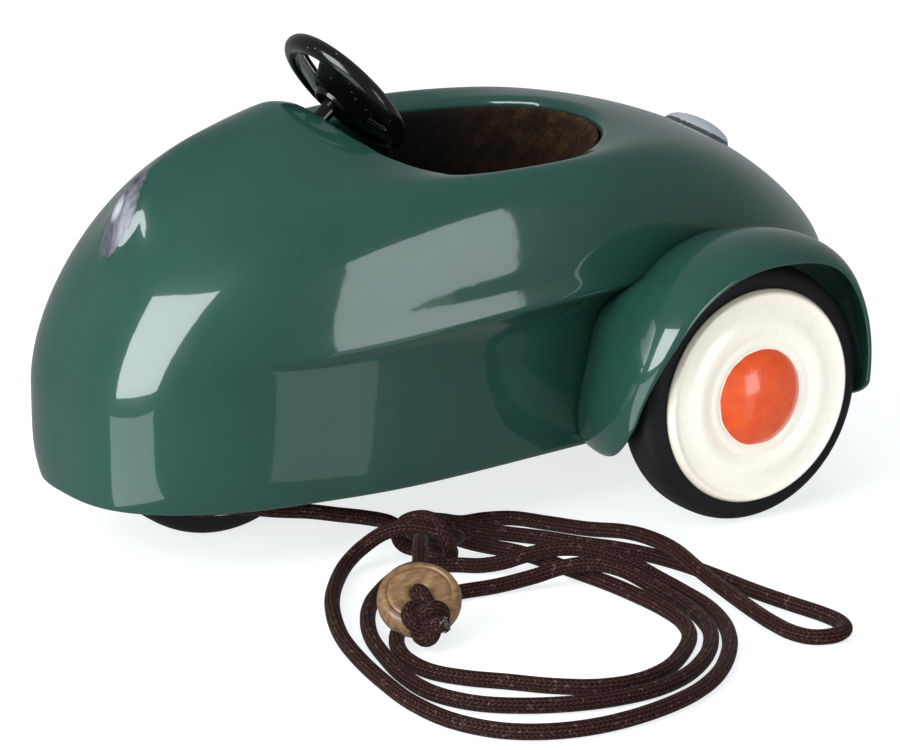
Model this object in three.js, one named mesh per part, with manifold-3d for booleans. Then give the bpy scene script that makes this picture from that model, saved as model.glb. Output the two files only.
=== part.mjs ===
// A doll's pull-along car: a pressed steel shell on a steel base plate, one front wheel,
// two rear wheels under mudguards, a steering wheel, a plush seat and a waxed pull cord.
// Millimetres. +Z is up, the nose points to -Y, and +X is the car's left side.
// The origin is on the floor, in the middle of the car's length and width.

import * as THREE from "three";
import { mergeVertices } from "three/addons/utils/BufferGeometryUtils.js";
import Module from "manifold-3d";

const wasm = await Module();
wasm.setup();

// ---- driving dimensions -------------------------------------------------------------

const GAP = 0.3;                    // between pieces that touch
const SHEET = 1.2;                  // thickness of the shell's steel
const SILL_Z = 16.3;                 // the shell's bottom edge
const NOSE_Y = -108;
const TAIL_Y = 108;

const BODY_HALF = 44;               // half width of the shell at its sides
const BODY_CENTRE_Y = -2;           // the cockpit's middle, where the shell is widest
const COCKPIT_HALF = 36;
const COCKPIT_LONG = 42;            // half length of the cockpit opening
const COCKPIT_Z = 86.6;             // height of the opening's edge at its sides
const LIP_R = 2.4;                  // the opening's rolled edge
const NOSE_POWER = 3.05;            // how square the plan is at each end; 2 is an ellipse
const TAIL_POWER = 2;

const WHEEL_R = 31.5;
const TYRE_W = 13;
const REAR_AXLE_Y = 43;
const FRONT_AXLE_Y = -67;
const REAR_DISC_X = 68;             // outer face of a rear wheel's disc
const AXLE_R = 2;
const BORE_R = 2.08;                // what an axle runs in

const STEER_HUB = new THREE.Vector3(0, -29.6, 101.8);
const STEER_TILT = THREE.MathUtils.degToRad(51.4);   // the wheel's plane from horizontal
const STEER_R = 16;
const STEER_TUBE = 2.2;

const CORD_D = 3.6;

const COLOURS = {
  green: [0x2e584e, 0.25, 0.1],
  black: [0x101012, 0.35, 0.1],
  plate: [0x1a1b1c, 0.5, 0.3],
  steel: [0x9a9c9e, 0.4, 0.9],
  rubber: [0x1b1b1d, 0.85, 0],
  cream: [0xe8e2d4, 0.4, 0.05],
  plush: [0x4a3220, 0.95, 0],
  cord: [0x33211d, 0.8, 0],
  wood: [0x9a6c3c, 0.6, 0],
};

const car = new THREE.Group();

function material(name) {
  const [color, roughness, metalness] = COLOURS[name];
  return new THREE.MeshStandardMaterial({ color, roughness, metalness });
}

function add(name, geometry, colour, position = [0, 0, 0], parent = car) {
  const mesh = new THREE.Mesh(geometry, material(colour));
  mesh.name = name;
  mesh.position.set(...position);
  parent.add(mesh);
  return mesh;
}

// ---- geometry helpers ---------------------------------------------------------------

function solid(geometry) {
  const bare = geometry.clone();
  bare.deleteAttribute("normal");
  bare.deleteAttribute("uv");
  const merged = mergeVertices(bare, 1e-4);
  return new wasm.Manifold(new wasm.Mesh({
    numProp: 3,
    vertProperties: new Float32Array(merged.attributes.position.array),
    triVerts: new Uint32Array(merged.index.array),
  }));
}

function fromSolid(manifold) {
  const { vertProperties, triVerts } = manifold.getMesh();
  const geometry = new THREE.BufferGeometry();
  geometry.setAttribute("position", new THREE.BufferAttribute(vertProperties, 3));
  geometry.setIndex(new THREE.BufferAttribute(triVerts, 1));
  return geometry;
}

// A closed surface from a grid of points: it wraps around in rows, and in columns too
// when it is a ring; otherwise its first and last column are closed with flat fans.
function gridSolid(columns, ring) {
  const rows = columns[0].length;
  const count = columns.length;
  const position = columns.flat().flatMap((p) => [p.x, p.y, p.z]);
  const index = [];
  const steps = ring ? count : count - 1;
  for (let i = 0; i < steps; i++) {
    const here = i * rows;
    const next = ((i + 1) % count) * rows;
    for (let j = 0; j < rows; j++) {
      const k = (j + 1) % rows;
      index.push(here + j, next + j, next + k, here + j, next + k, here + k);
    }
  }
  if (!ring) {
    const last = (count - 1) * rows;
    for (let j = 0; j < rows / 2 - 1; j++) {
      const far = rows - 1 - j;
      index.push(j, j + 1, far - 1, j, far - 1, far);
      index.push(last + j, last + far - 1, last + j + 1, last + j, last + far, last + far - 1);
    }
  }
  const geometry = new THREE.BufferGeometry();
  geometry.setAttribute("position", new THREE.Float32BufferAttribute(position, 3));
  geometry.setIndex(index);
  return geometry;
}

function flipped(geometry) {
  const index = geometry.index.array;
  for (let i = 0; i < index.length; i += 3) {
    [index[i + 1], index[i + 2]] = [index[i + 2], index[i + 1]];
  }
  return geometry;
}

// Turned pieces: the profile's points are [radius, distance along the axis].
function latheY(profile, segments) {
  return new THREE.LatheGeometry(profile.map((p) => new THREE.Vector2(...p)), segments);
}

function lathe(profile, segments) {
  return latheY(profile, segments).rotateX(Math.PI / 2);
}

function turnedX(profile, segments) {
  return latheY(profile, segments).rotateZ(-Math.PI / 2);
}

function rodX(radius, length, segments = 24) {
  return new THREE.CylinderGeometry(radius, radius, length, segments).rotateZ(Math.PI / 2);
}

function box(x, y, z, cx = 0, cy = 0, cz = 0) {
  return new THREE.BoxGeometry(x, y, z).translate(cx, cy, cz);
}

function smoothStep(from, to, value) {
  const t = THREE.MathUtils.clamp((value - from) / (to - from), 0, 1);
  return t * t * (3 - 2 * t);
}

function mix(a, b, t) {
  return a + (b - a) * t;
}

// ---- the shell's surface ------------------------------------------------------------

// The surface is a ring of ribs, one at each angle about the cockpit's middle. A rib
// starts at the cockpit's edge, crosses the shoulder to the widest line, and drops to
// the sill. Angle 0 is the left side and -90 degrees is the nose.

function outline(angle, half, front, rear) {
  const c = Math.cos(angle);
  const s = Math.sin(angle);
  const power = mix(NOSE_POWER, TAIL_POWER, smoothStep(-0.5, 0.5, s));
  const r = (Math.abs(c) ** power + Math.abs(s) ** power) ** (-1 / power);
  const reach = s < 0 ? front : rear;
  return [half * r * c, BODY_CENTRE_Y + reach * r * s];
}

function cockpitEdge(angle) {
  const s = Math.sin(angle);
  const rise = s < 0 ? 14 * (-s) ** 3.6 : 2.2 * s * s;
  return new THREE.Vector3(
    COCKPIT_HALF * Math.cos(angle), BODY_CENTRE_Y + COCKPIT_LONG * s, COCKPIT_Z + rise);
}

// The widest line: low round the nose and tail, and higher along the swage on the sides.
function widestLine(angle) {
  const front = BODY_CENTRE_Y - NOSE_Y;
  const rear = TAIL_Y - BODY_CENTRE_Y;
  const [x, y] = outline(angle, BODY_HALF, front, rear);
  const flare = 1 + 0.08 * smoothStep(-80, 15, y);
  const z = 37 + 15.3 * smoothStep(-104, -72, y) + 6 * smoothStep(-70, 25, y)
    - 15 * smoothStep(50, 106, y);
  return new THREE.Vector3(x * flare, y, z);
}

function sillPoint(angle) {
  const front = BODY_CENTRE_Y - NOSE_Y - 1;
  const rear = TAIL_Y - BODY_CENTRE_Y - 4;
  const [x, y] = outline(angle, BODY_HALF - 1, front, rear);
  const taper = 1 - 0.12 * smoothStep(-50, 25, y);
  return new THREE.Vector3(x * taper, y, SILL_Z);
}

function bezier(p0, p1, p2, p3, t) {
  const s = 1 - t;
  return new THREE.Vector3()
    .addScaledVector(p0, s * s * s).addScaledVector(p1, 3 * s * s * t)
    .addScaledVector(p2, 3 * s * t * t).addScaledVector(p3, t * t * t);
}

// The upper part of a rib, t from 0 at the cockpit to 1 at the widest line.
function upperRib(angle, t) {
  const s = Math.sin(angle);
  const front = s < 0 ? s * s : 0;
  const rear = s > 0 ? s * s : 0;
  const side = 1 - front - rear;
  const edge = cockpitEdge(angle);
  const widest = widestLine(angle);
  const reach = 0.5 * front + 0.75 * side + 0.4 * rear;
  const drop = 2.4 * front - 7.5 * side + 0.8 * rear;
  const rise = 0.4 * front + 0.5 * side + 0.3 * rear;
  const out = edge.clone().lerp(widest, reach);
  out.z = edge.z - drop;
  const up = widest.clone();
  up.z = mix(widest.z, edge.z, rise);
  const p = bezier(edge, out, up, widest, t);
  p.z += hoodRidge(p.x, p.y);
  return p;
}

// A ridge along the hood's middle: high behind the nose and lower towards the cockpit.
function hoodRidge(x, y) {
  const start = smoothStep(-99, -86, y);
  const end = 1 - smoothStep(-50, -42, y);
  const height = mix(8.5, 3.4, smoothStep(-84, -52, y));
  return start * end * height * Math.exp(-((x / 9) ** 2));
}

// The lower part, t from 0 at the widest line to 1 at the sill. Along the sides the
// metal steps in below the swage line; round the nose it only tucks in.
function lowerRib(angle, t) {
  const widest = widestLine(angle);
  const sill = sillPoint(angle);
  const swage = smoothStep(-82, 10, widest.y) * (1 - smoothStep(80, 100, widest.y));
  const tuck = 1 - t ** 3;
  const step = 1 / (1 + (t / 0.13) ** 2.5);
  const keep = mix(tuck, step, swage);
  return new THREE.Vector3(
    mix(sill.x, widest.x, keep), mix(sill.y, widest.y, keep), mix(widest.z, SILL_Z, t));
}

// The rolled edge curls down into the cockpit; t is the angle turned, in radians.
function lipPoint(angle, turn) {
  const edge = cockpitEdge(angle);
  const inward = new THREE.Vector3(-edge.x, -(edge.y - BODY_CENTRE_Y), 0).normalize();
  edge.z += LIP_R * (Math.cos(turn) - 1);
  return edge.addScaledVector(inward, LIP_R * Math.sin(turn));
}

// One rib of outer points, from the sill up and over the rolled edge.
function rib(angle) {
  const lower = [1, 0.72, 0.42, 0.22, 0.1].map((t) => lowerRib(angle, t));
  const upper = [1, 0.88, 0.76, 0.64, 0.51, 0.38, 0.25, 0.12, 0].map((t) => upperRib(angle, t));
  const lip = [0.6, 1.2, 1.9].map((turn) => lipPoint(angle, turn));
  return [...lower, ...upper, ...lip];
}

// The inner face lies one sheet thickness inside the outer one, along its normals.
function shellGeometry(columns) {
  const ribs = [];
  for (let i = 0; i < columns; i++) ribs.push(rib(-Math.PI / 2 + (2 * Math.PI * i) / columns));
  const rows = ribs[0].length;
  const walls = ribs.map((points, i) => {
    const before = ribs[(i + columns - 1) % columns];
    const after = ribs[(i + 1) % columns];
    const inner = points.map((p, j) => {
      const up = points[Math.min(j + 1, rows - 1)].clone().sub(points[Math.max(j - 1, 0)]);
      const round = after[j].clone().sub(before[j]);
      const normal = round.cross(up).normalize();
      const q = p.clone().addScaledVector(normal, -SHEET);
      if (j === 0) q.z = SILL_Z;
      return q;
    });
    return [...points, ...inner.reverse()];
  });
  return gridSolid(walls, true);
}

const shellMesh = new THREE.Mesh(shellGeometry(44));

// How far out the shell's side is at a given y and z.
const caster = new THREE.Raycaster();
function shellSide(y, z) {
  caster.set(new THREE.Vector3(200, y, z), new THREE.Vector3(-1, 0, 0));
  const [hit] = caster.intersectObject(shellMesh);
  return hit ? hit.point.x : 0;
}

// The height of the shell's upper face above a point of the plan.
function shellTop(x, y) {
  caster.set(new THREE.Vector3(x, y, 300), new THREE.Vector3(0, 0, -1));
  return caster.intersectObject(shellMesh)[0].point.z;
}

function bodyShell() {
  let shell = solid(shellMesh.geometry);
  // a raised teardrop on the nose and a raised round button on the tail
  const teardrop = new THREE.SphereGeometry(1, 14, 8).scale(4.6, 11.5, 2.6);
  teardrop.rotateX(THREE.MathUtils.degToRad(62)).translate(0, -89.4, 81.6);
  const buttonY = 76;
  const button = lathe([[0, -3], [8.6, -3], [8.6, 1], [7.4, 2], [4, 2.7], [0, 3]], 18);
  button.rotateX(-THREE.MathUtils.degToRad(30)).translate(0, buttonY, shellTop(0, buttonY) - 1.2);
  shell = shell.add(solid(teardrop)).add(solid(button));
  // holes for the rear axle
  const holes = rodX(AXLE_R + 0.8, 2 * BODY_HALF + 20, 16).translate(0, REAR_AXLE_Y, WHEEL_R);
  return fromSolid(shell.subtract(solid(holes)));
}

add("body_shell", bodyShell(), "green");

// ---- rear mudguards -----------------------------------------------------------------

// A mudguard is an arch over the wheel. Its inner edge follows the shell's side, and
// its outer edge is open in front of the tyre.
const FENDER_RIM_R = 33.4;
const FENDER_SHEET = 1;
const SEAM_GAP = 0.9;               // the shell bulges a little between the arch's ribs

// around runs from the front tip, over the top, to the rear tip; across runs from the
// shell's side to the open edge. The corners of both tips are rounded.
function fenderPoint(around, across) {
  const corner = across ** 4;
  const degrees = mix(203 - 20 * corner, -15 + 12 * corner, around);
  const angle = THREE.MathUtils.degToRad(degrees);
  const dip = Math.exp(-(((degrees - 168) / 28) ** 2));
  const seamR = 33 - 5 * dip;
  const seamY = REAR_AXLE_Y + seamR * Math.cos(angle);
  const seamZ = WHEEL_R + seamR * Math.sin(angle);
  const seamX = shellSide(seamY, Math.max(seamZ, SILL_Z + GAP)) + SEAM_GAP;
  const rimX = 73 - 11 * smoothStep(140, 205, degrees) - 5 * (1 - smoothStep(30, 85, degrees));
  const bulge = 1.5 + 3 * Math.sin(Math.PI * around) ** 0.7;
  const rimR = FENDER_RIM_R + 2.2 * Math.exp(-(((degrees - 48) / 24) ** 2))
    - 1.6 * (1 - smoothStep(-15, 35, degrees));
  const r = mix(seamR, rimR, 1 - (1 - across) ** 2) + bulge * Math.sin(Math.PI * across) ** 0.8;
  return new THREE.Vector3(mix(seamX, rimX, 1 - (1 - across) ** 1.3),
    REAR_AXLE_Y + r * Math.cos(angle), WHEEL_R + r * Math.sin(angle));
}

function fender(mirror) {
  const arcs = 18;
  const strips = 6;
  const skin = [];
  for (let i = 0; i <= arcs; i++) {
    const row = [];
    for (let j = 0; j <= strips; j++) row.push(fenderPoint(i / arcs, j / strips));
    skin.push(row);
  }
  const walls = skin.map((row, i) => {
    const before = skin[Math.max(i - 1, 0)];
    const after = skin[Math.min(i + 1, arcs)];
    const inner = row.map((p, j) => {
      const over = row[Math.min(j + 1, strips)].clone().sub(row[Math.max(j - 1, 0)]);
      const round = after[j].clone().sub(before[j]);
      const normal = over.cross(round).normalize();
      const q = p.clone().addScaledVector(normal, FENDER_SHEET);
      q.x = Math.max(q.x, shellSide(q.y, Math.max(q.z, SILL_Z + GAP)) + SEAM_GAP);
      return q;
    });
    return [...row, ...inner.reverse()];
  });
  if (mirror) walls.forEach((wall) => wall.forEach((p) => { p.x *= -1; }));
  const geometry = gridSolid(walls, false);
  return mirror ? flipped(geometry) : geometry;
}

add("fender_left", fender(false), "green");
add("fender_right", fender(true), "green");

// ---- base plate and its screws ------------------------------------------------------

const PLATE_Z = SILL_Z + 0.2;
const PLATE_TOP = PLATE_Z + SHEET;
const SLOT_HALF = 8.8;              // slot for the front wheel
const SCREW_R = 1.2;
const SCREW_SPOTS = {
  front_left: [9.5, -100],
  front_right: [-9.5, -100],
  rear_left: [11, 90],
  rear_right: [-11, 90],
};
const RIVET_X = 15;
const EYELET = [16, -85];

function drill(x, y, radius) {
  const bit = new THREE.CylinderGeometry(radius, radius, 60, 12).rotateX(Math.PI / 2);
  return solid(bit.translate(x, y, PLATE_Z));
}

function basePlate() {
  const edge = [];
  const steps = 40;
  for (let i = 0; i < steps; i++) {
    const angle = (2 * Math.PI * i) / steps;
    const here = sillPoint(angle);
    const ahead = sillPoint(angle + 0.01).sub(sillPoint(angle - 0.01));
    const inward = new THREE.Vector2(-ahead.y, ahead.x).normalize();
    const inset = SHEET + 2 * GAP;
    edge.push(new THREE.Vector2(here.x + inward.x * inset, here.y + inward.y * inset));
  }
  const outlineShape = new THREE.Shape(edge);
  const plate = new THREE.ExtrudeGeometry(outlineShape, { depth: SHEET, bevelEnabled: false });
  let cut = solid(plate.translate(0, 0, PLATE_Z));
  cut = cut.subtract(solid(box(2 * SLOT_HALF, 60, 10, 0, FRONT_AXLE_Y, PLATE_Z)));
  for (const [x, y] of Object.values(SCREW_SPOTS)) cut = cut.subtract(drill(x, y, SCREW_R + GAP));
  for (const side of [1, -1]) cut = cut.subtract(drill(side * RIVET_X, FRONT_AXLE_Y, SCREW_R + GAP));
  cut = cut.subtract(drill(EYELET[0], EYELET[1], 3.2));
  return fromSolid(cut);
}

add("base_plate", basePlate(), "plate");

// Tabs on the shell's inner wall take the screws that hold the base plate.
for (const [place, [x, y]] of Object.entries(SCREW_SPOTS)) {
  const tab = solid(box(6, 5, 2, x, y, PLATE_TOP + GAP + 1)).subtract(drill(x, y, SCREW_R + GAP));
  add(`shell_tab_${place}`, fromSolid(tab), "steel");
  const head = PLATE_Z - GAP;
  const profile = [[0, head - 1.6], [1.6, head - 1.4], [2.4, head - 0.7], [2.4, head],
    [SCREW_R, head], [SCREW_R, head + 5], [0, head + 5]];
  add(`plate_screw_${place}`, lathe(profile, 10), "black", [x, y, 0]);
}

// ---- wheels ---------------------------------------------------------------------------

const DISC_R = 26;
const DISC_SHEET = 1;
const DISC_BACK = TYRE_W / 2 + GAP;          // a disc's back face from the wheel's middle
const REAR_WHEEL_X = REAR_DISC_X - DISC_BACK - DISC_SHEET;

function tyre() {
  const half = TYRE_W / 2;
  const wall = [[22, half], [27, half], [29.3, half - 0.8], [30.8, half - 2.2], [WHEEL_R, half - 4]];
  const far = wall.map(([r, x]) => [r, -x]);
  return turnedX([...far, ...wall.reverse(), far[0]], 28);
}

// The outer face is pressed with a rolled edge, a raised ring and a domed centre.
function outerDisc() {
  const b = DISC_BACK;
  const t = DISC_SHEET;
  return turnedX([[0, b + 3.2], [5, b + 2.8], [9, b + 1.6], [11.2, b + 0.2], [13, b], [16, b + 0.6],
    [19, b + 0.6], [22, b], [DISC_R, b], [DISC_R, b + 0.7], [DISC_R - 0.8, b + t + 0.2], [24, b + t],
    [22, b + t], [19, b + t + 0.7], [16, b + t + 0.7], [13, b + t], [11.8, b + t], [11.2, b + t + 0.5],
    [9, b + t + 1.9], [5, b + t + 3.1], [0, b + t + 3.5]], 26);
}

function flatDisc() {
  const b = DISC_BACK;
  const t = DISC_SHEET;
  return turnedX([[BORE_R, b], [DISC_R, b], [DISC_R, b + t], [BORE_R, b + t], [BORE_R, b]], 24);
}

function bush() {
  const half = TYRE_W / 2;
  return turnedX([[BORE_R, -half], [5, -half], [5, half], [BORE_R, half], [BORE_R, -half]], 24);
}

function ring(inner, outer, x, width) {
  return turnedX([[inner, x], [outer, x], [outer, x + width], [inner, x + width], [inner, x]], 24);
}

const frontAxle = new THREE.Group();
frontAxle.position.set(0, FRONT_AXLE_Y, WHEEL_R);
car.add(frontAxle);
add("front_tyre", tyre(), "rubber", [0, 0, 0], frontAxle);
add("front_disc_left", flatDisc(), "cream", [0, 0, 0], frontAxle);
add("front_disc_right", flatDisc().rotateY(Math.PI), "cream", [0, 0, 0], frontAxle);
add("front_bush", bush(), "steel", [0, 0, 0], frontAxle);

const rearAxle = new THREE.Group();
rearAxle.position.set(0, REAR_AXLE_Y, WHEEL_R);
car.add(rearAxle);
for (const [side, sign] of [["left", 1], ["right", -1]]) {
  const turn = sign > 0 ? 0 : Math.PI;
  const at = [sign * REAR_WHEEL_X, 0, 0];
  add(`rear_tyre_${side}`, tyre(), "rubber", at, rearAxle);
  add(`rear_disc_${side}`, outerDisc().rotateY(turn), "cream", at, rearAxle);
  add(`rear_inner_disc_${side}`, flatDisc().rotateY(turn + Math.PI), "cream", at, rearAxle);
  add(`rear_bush_${side}`, bush(), "steel", at, rearAxle);
}
add("rear_axle", rodX(AXLE_R, 2 * (REAR_WHEEL_X + TYRE_W / 2)), "steel", [0, 0, 0], rearAxle);

// ---- front fork, axle brackets ----------------------------------------------------------

const FORK_IN = 9.5;                 // inner face of a fork leg
const FORK_OUT = FORK_IN + SHEET;
const FORK_TOP = 65;
const FORK_W = 12;
const FOOT = PLATE_TOP + GAP;

function fork() {
  const width = 2 * FORK_OUT;
  let strap = solid(box(width, FORK_W, SHEET, 0, FRONT_AXLE_Y, FORK_TOP - SHEET / 2));
  for (const side of [1, -1]) {
    const legX = side * (FORK_IN + SHEET / 2);
    const height = FORK_TOP - FOOT;
    strap = strap.add(solid(box(SHEET, FORK_W, height, legX, FRONT_AXLE_Y, FOOT + height / 2)));
    const footX = side * (FORK_IN + FORK_OUT / 2);
    strap = strap.add(solid(box(FORK_OUT, FORK_W, SHEET, footX, FRONT_AXLE_Y, FOOT + SHEET / 2)));
    strap = strap.subtract(drill(side * RIVET_X, FRONT_AXLE_Y, SCREW_R + GAP));
  }
  return fromSolid(strap.subtract(solid(rodX(BORE_R, 60).translate(0, FRONT_AXLE_Y, WHEEL_R))));
}

add("front_fork", fork(), "steel");
for (const [side, sign] of [["left", 1], ["right", -1]]) {
  const low = PLATE_Z - GAP;
  const high = FOOT + SHEET + GAP;
  const profile = [[0, low - 0.8], [2.2, low - 0.6], [2.2, low], [SCREW_R, low], [SCREW_R, high],
    [2.2, high], [2.2, high + 0.6], [0, high + 0.8]];
  add(`fork_rivet_${side}`, lathe(profile, 10), "steel", [sign * RIVET_X, FRONT_AXLE_Y, 0]);
}

// The front axle is a pin with a head on one side and a push-on cap on the other.
const pinEnd = FORK_OUT + GAP;
const pinTip = pinEnd + 2.4;
add("front_axle", turnedX([[0, -pinEnd - 1], [3.4, -pinEnd - 1], [3.4, -pinEnd], [AXLE_R, -pinEnd],
  [AXLE_R, pinTip], [0, pinTip]], 24), "steel", [0, 0, 0], frontAxle);
add("front_axle_cap", ring(BORE_R, 3.4, pinEnd, 1.6), "steel", [0, 0, 0], frontAxle);

// Two ears stand on the base plate and carry the rear axle.
const EAR_X = 28;
function axleEar(sign) {
  const top = WHEEL_R + 6;
  const height = top - FOOT;
  let ear = solid(box(SHEET, 12, height, sign * EAR_X, REAR_AXLE_Y, FOOT + height / 2));
  ear = ear.add(solid(box(8, 12, SHEET, sign * (EAR_X - 4), REAR_AXLE_Y, FOOT + SHEET / 2)));
  return fromSolid(ear.subtract(solid(rodX(BORE_R, 2 * EAR_X + 20).translate(0, REAR_AXLE_Y, WHEEL_R))));
}
add("axle_bracket_left", axleEar(1), "steel");
add("axle_bracket_right", axleEar(-1), "steel");

// Collars on the axle beside the ears keep it from sliding sideways.
add("axle_collar_left", ring(BORE_R, 4, EAR_X + 1, 3), "steel", [0, 0, 0], rearAxle);
add("axle_collar_right", ring(BORE_R, 4, -EAR_X - 4, 3), "steel", [0, 0, 0], rearAxle);

// ---- steering -----------------------------------------------------------------------------

// In this group +Z runs up the column and out of the steering wheel's face.
const steering = new THREE.Group();
steering.position.copy(STEER_HUB);
steering.rotation.x = -STEER_TILT;
car.add(steering);
const COLUMN_END = -52;
const BRACKET_AT = -44;

function steeringWheel() {
  let wheel = solid(new THREE.TorusGeometry(STEER_R, STEER_TUBE, 8, 30));
  const hub = new THREE.CylinderGeometry(4.2, 4.2, 4, 20).rotateX(Math.PI / 2).translate(0, 0, -0.5);
  wheel = wheel.add(solid(hub));
  for (let i = 0; i < 3; i++) {
    const spoke = box(STEER_R, 4.4, 1.8, STEER_R / 2, 0, 0).rotateZ(Math.PI / 2 + (i * 2 * Math.PI) / 3);
    wheel = wheel.add(solid(spoke));
  }
  const bore = new THREE.CylinderGeometry(BORE_R, BORE_R, 4, 24).rotateX(Math.PI / 2).translate(0, 0, -2);
  return fromSolid(wheel.subtract(solid(bore)));
}

function alongColumn(geometry, z) {
  return geometry.rotateX(Math.PI / 2).translate(0, 0, z);
}

add("steering_wheel", steeringWheel(), "black", [0, 0, 0], steering);
const columnLength = -COLUMN_END - GAP;
add("steering_column", alongColumn(new THREE.CylinderGeometry(AXLE_R, AXLE_R, columnLength, 24),
  (COLUMN_END - GAP) / 2), "black", [0, 0, 0], steering);

function collarAt(z) {
  const p = [[BORE_R, -1.2], [4, -1.2], [4, 1.2], [BORE_R, 1.2], [BORE_R, -1.2]];
  return alongColumn(latheY(p, 24), z);
}
add("column_collar_upper", collarAt(BRACKET_AT + 2.2), "steel", [0, 0, 0], steering);
add("column_collar_lower", collarAt(BRACKET_AT - 2.2), "steel", [0, 0, 0], steering);

// A bent bracket on top of the fork carries the column.
function columnBracket() {
  steering.updateMatrixWorld(true);
  const footZ = FORK_TOP + GAP;
  const plate = box(14, 26, SHEET, 0, 6, BRACKET_AT).applyMatrix4(steering.matrixWorld);
  const foot = box(14, 18, SHEET, 0, FRONT_AXLE_Y + 3, footZ + SHEET / 2);
  const below = box(60, 60, 60, 0, FRONT_AXLE_Y, footZ - 30);
  const hole = alongColumn(new THREE.CylinderGeometry(BORE_R, BORE_R, 8, 24), BRACKET_AT);
  return fromSolid(solid(plate).add(solid(foot)).subtract(solid(below))
    .subtract(solid(hole.applyMatrix4(steering.matrixWorld))));
}
add("column_bracket", columnBracket(), "steel");

// ---- seat ---------------------------------------------------------------------------------

// A plush lining stands round the rear of the cockpit, from the base plate to the lip.
function seatLining() {
  const steps = 14;
  const levels = 4;
  const thick = 2;
  const bottom = FOOT;
  const walls = [];
  for (let i = 0; i <= steps; i++) {
    const angle = THREE.MathUtils.degToRad(mix(25, 155, i / steps));
    const top = cockpitEdge(angle).z - 2;
    const outer = [];
    const inner = [];
    for (let j = 0; j <= levels; j++) {
      const t = j / levels;
      const shrink = 1 - 0.14 * (1 - t) ** 2;
      const place = (inset) => new THREE.Vector3(
        (COCKPIT_HALF - LIP_R - GAP - inset) * shrink * Math.cos(angle),
        BODY_CENTRE_Y + (COCKPIT_LONG - LIP_R - GAP - inset) * shrink * Math.sin(angle),
        mix(bottom, top, t));
      outer.push(place(0));
      inner.push(place(thick));
    }
    walls.push([...outer, ...inner.reverse()]);
  }
  return gridSolid(walls, false);
}
add("seat_lining", seatLining(), "plush");

function seatCushion() {
  const shape = new THREE.Shape();
  shape.absellipse(0, 0, 22, 24, 0, 2 * Math.PI, false, 0);
  const round = 2;
  const pad = new THREE.ExtrudeGeometry(shape, {
    depth: 9,
    bevelThickness: round,
    bevelSize: round,
    bevelSegments: 2,
    curveSegments: 14,
  });
  return pad.translate(0, 1, FOOT + round);
}
add("seat_cushion", seatCushion(), "plush");

// ---- pull cord ------------------------------------------------------------------------------

const CORD_R = CORD_D / 2;
const SIDES = 8;

function cordTube(points, steps, radius = CORD_R) {
  const curve = new THREE.CatmullRomCurve3(points.map((p) => new THREE.Vector3(...p)));
  const section = new THREE.Shape();
  section.absellipse(0, 0, radius, radius, 0, 2 * Math.PI, false, 0);
  return new THREE.ExtrudeGeometry(section, {
    steps,
    bevelEnabled: false,
    extrudePath: curve,
    curveSegments: SIDES / 2,
  });
}

// The eyelet lines the hole in the base plate, and a knot above it holds the cord.
const collarTop = PLATE_TOP + GAP;
add("cord_eyelet", lathe([[2.2, PLATE_Z - 1], [4.6, PLATE_Z - 1], [4.6, PLATE_Z - GAP],
  [2.9, PLATE_Z - GAP], [2.9, collarTop], [4.4, collarTop], [4.4, collarTop + 0.6],
  [2.2, collarTop + 0.6], [2.2, PLATE_Z - 1]], 20), "black", [...EYELET, 0]);
const STOP_Z = collarTop + 0.6 + GAP;
add("cord_stop_knot", new THREE.SphereGeometry(1, 14, 8).scale(4, 4, 3.2), "cord", [...EYELET, STOP_Z + 3.2]);

// The lead: out of the eyelet, back past the front wheel and down to the big knot.
const LEAD = [[16, -85, 18.3], [16, -84.8, 14], [15.6, -82, 10], [14.9, -76, 8.3], [14, -67.5, 7.5],
  [13.6, -58.5, 6.9], [16.1, -50.2, 5.5], [19.4, -44.2, 4.5], [23.3, -39.4, 4], [28, -36, 3.6],
  [33.5, -34.4, 3.4]];
add("cord_lead", cordTube(LEAD, 14), "cord");

const KNOT = new THREE.Vector3(47.8, -36.7, 6.8);
const knotSolid = (grow) => new THREE.SphereGeometry(1, 18, 10).scale(8.6 + grow, 7.2 + grow, 6.4 + grow)
  .rotateZ(THREE.MathUtils.degToRad(30)).translate(KNOT.x, KNOT.y, KNOT.z);
add("cord_knot", knotSolid(0), "cord");

// The wooden bead leans on the coil, with its face turned up to one side.
const BEAD_R = 9.5;
const BEAD_T = 6;
const BEAD = new THREE.Vector3(88.6, -66.6, 9.2);
const BEAD_FACE = new THREE.Vector3(0.579, -0.383, 0.719).normalize();
const beadTurn = new THREE.Quaternion().setFromUnitVectors(new THREE.Vector3(0, 1, 0), BEAD_FACE);

function onBead(geometry) {
  return geometry.applyQuaternion(beadTurn).translate(BEAD.x, BEAD.y, BEAD.z);
}

function beadBlank(grow) {
  const h = BEAD_T / 2 + grow;
  const r = BEAD_R + grow;
  return latheY([[0, -h], [r - 2, -h], [r - 0.5, -h + 1.2], [r, 0], [r - 0.5, h - 1.2],
    [r - 2, h], [0, h]], 28);
}

function bead() {
  const hole = new THREE.CylinderGeometry(CORD_R + 0.4, CORD_R + 0.4, 20, 16);
  return onBead(fromSolid(solid(beadBlank(0)).subtract(solid(hole))));
}
add("cord_bead", bead(), "wood");
const endKnot = new THREE.SphereGeometry(1, 14, 8).scale(5, 3.4, 4.2);
add("cord_end_knot", onBead(endKnot.translate(0, BEAD_T / 2 + GAP + 3.5, 0)), "cord");

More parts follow.
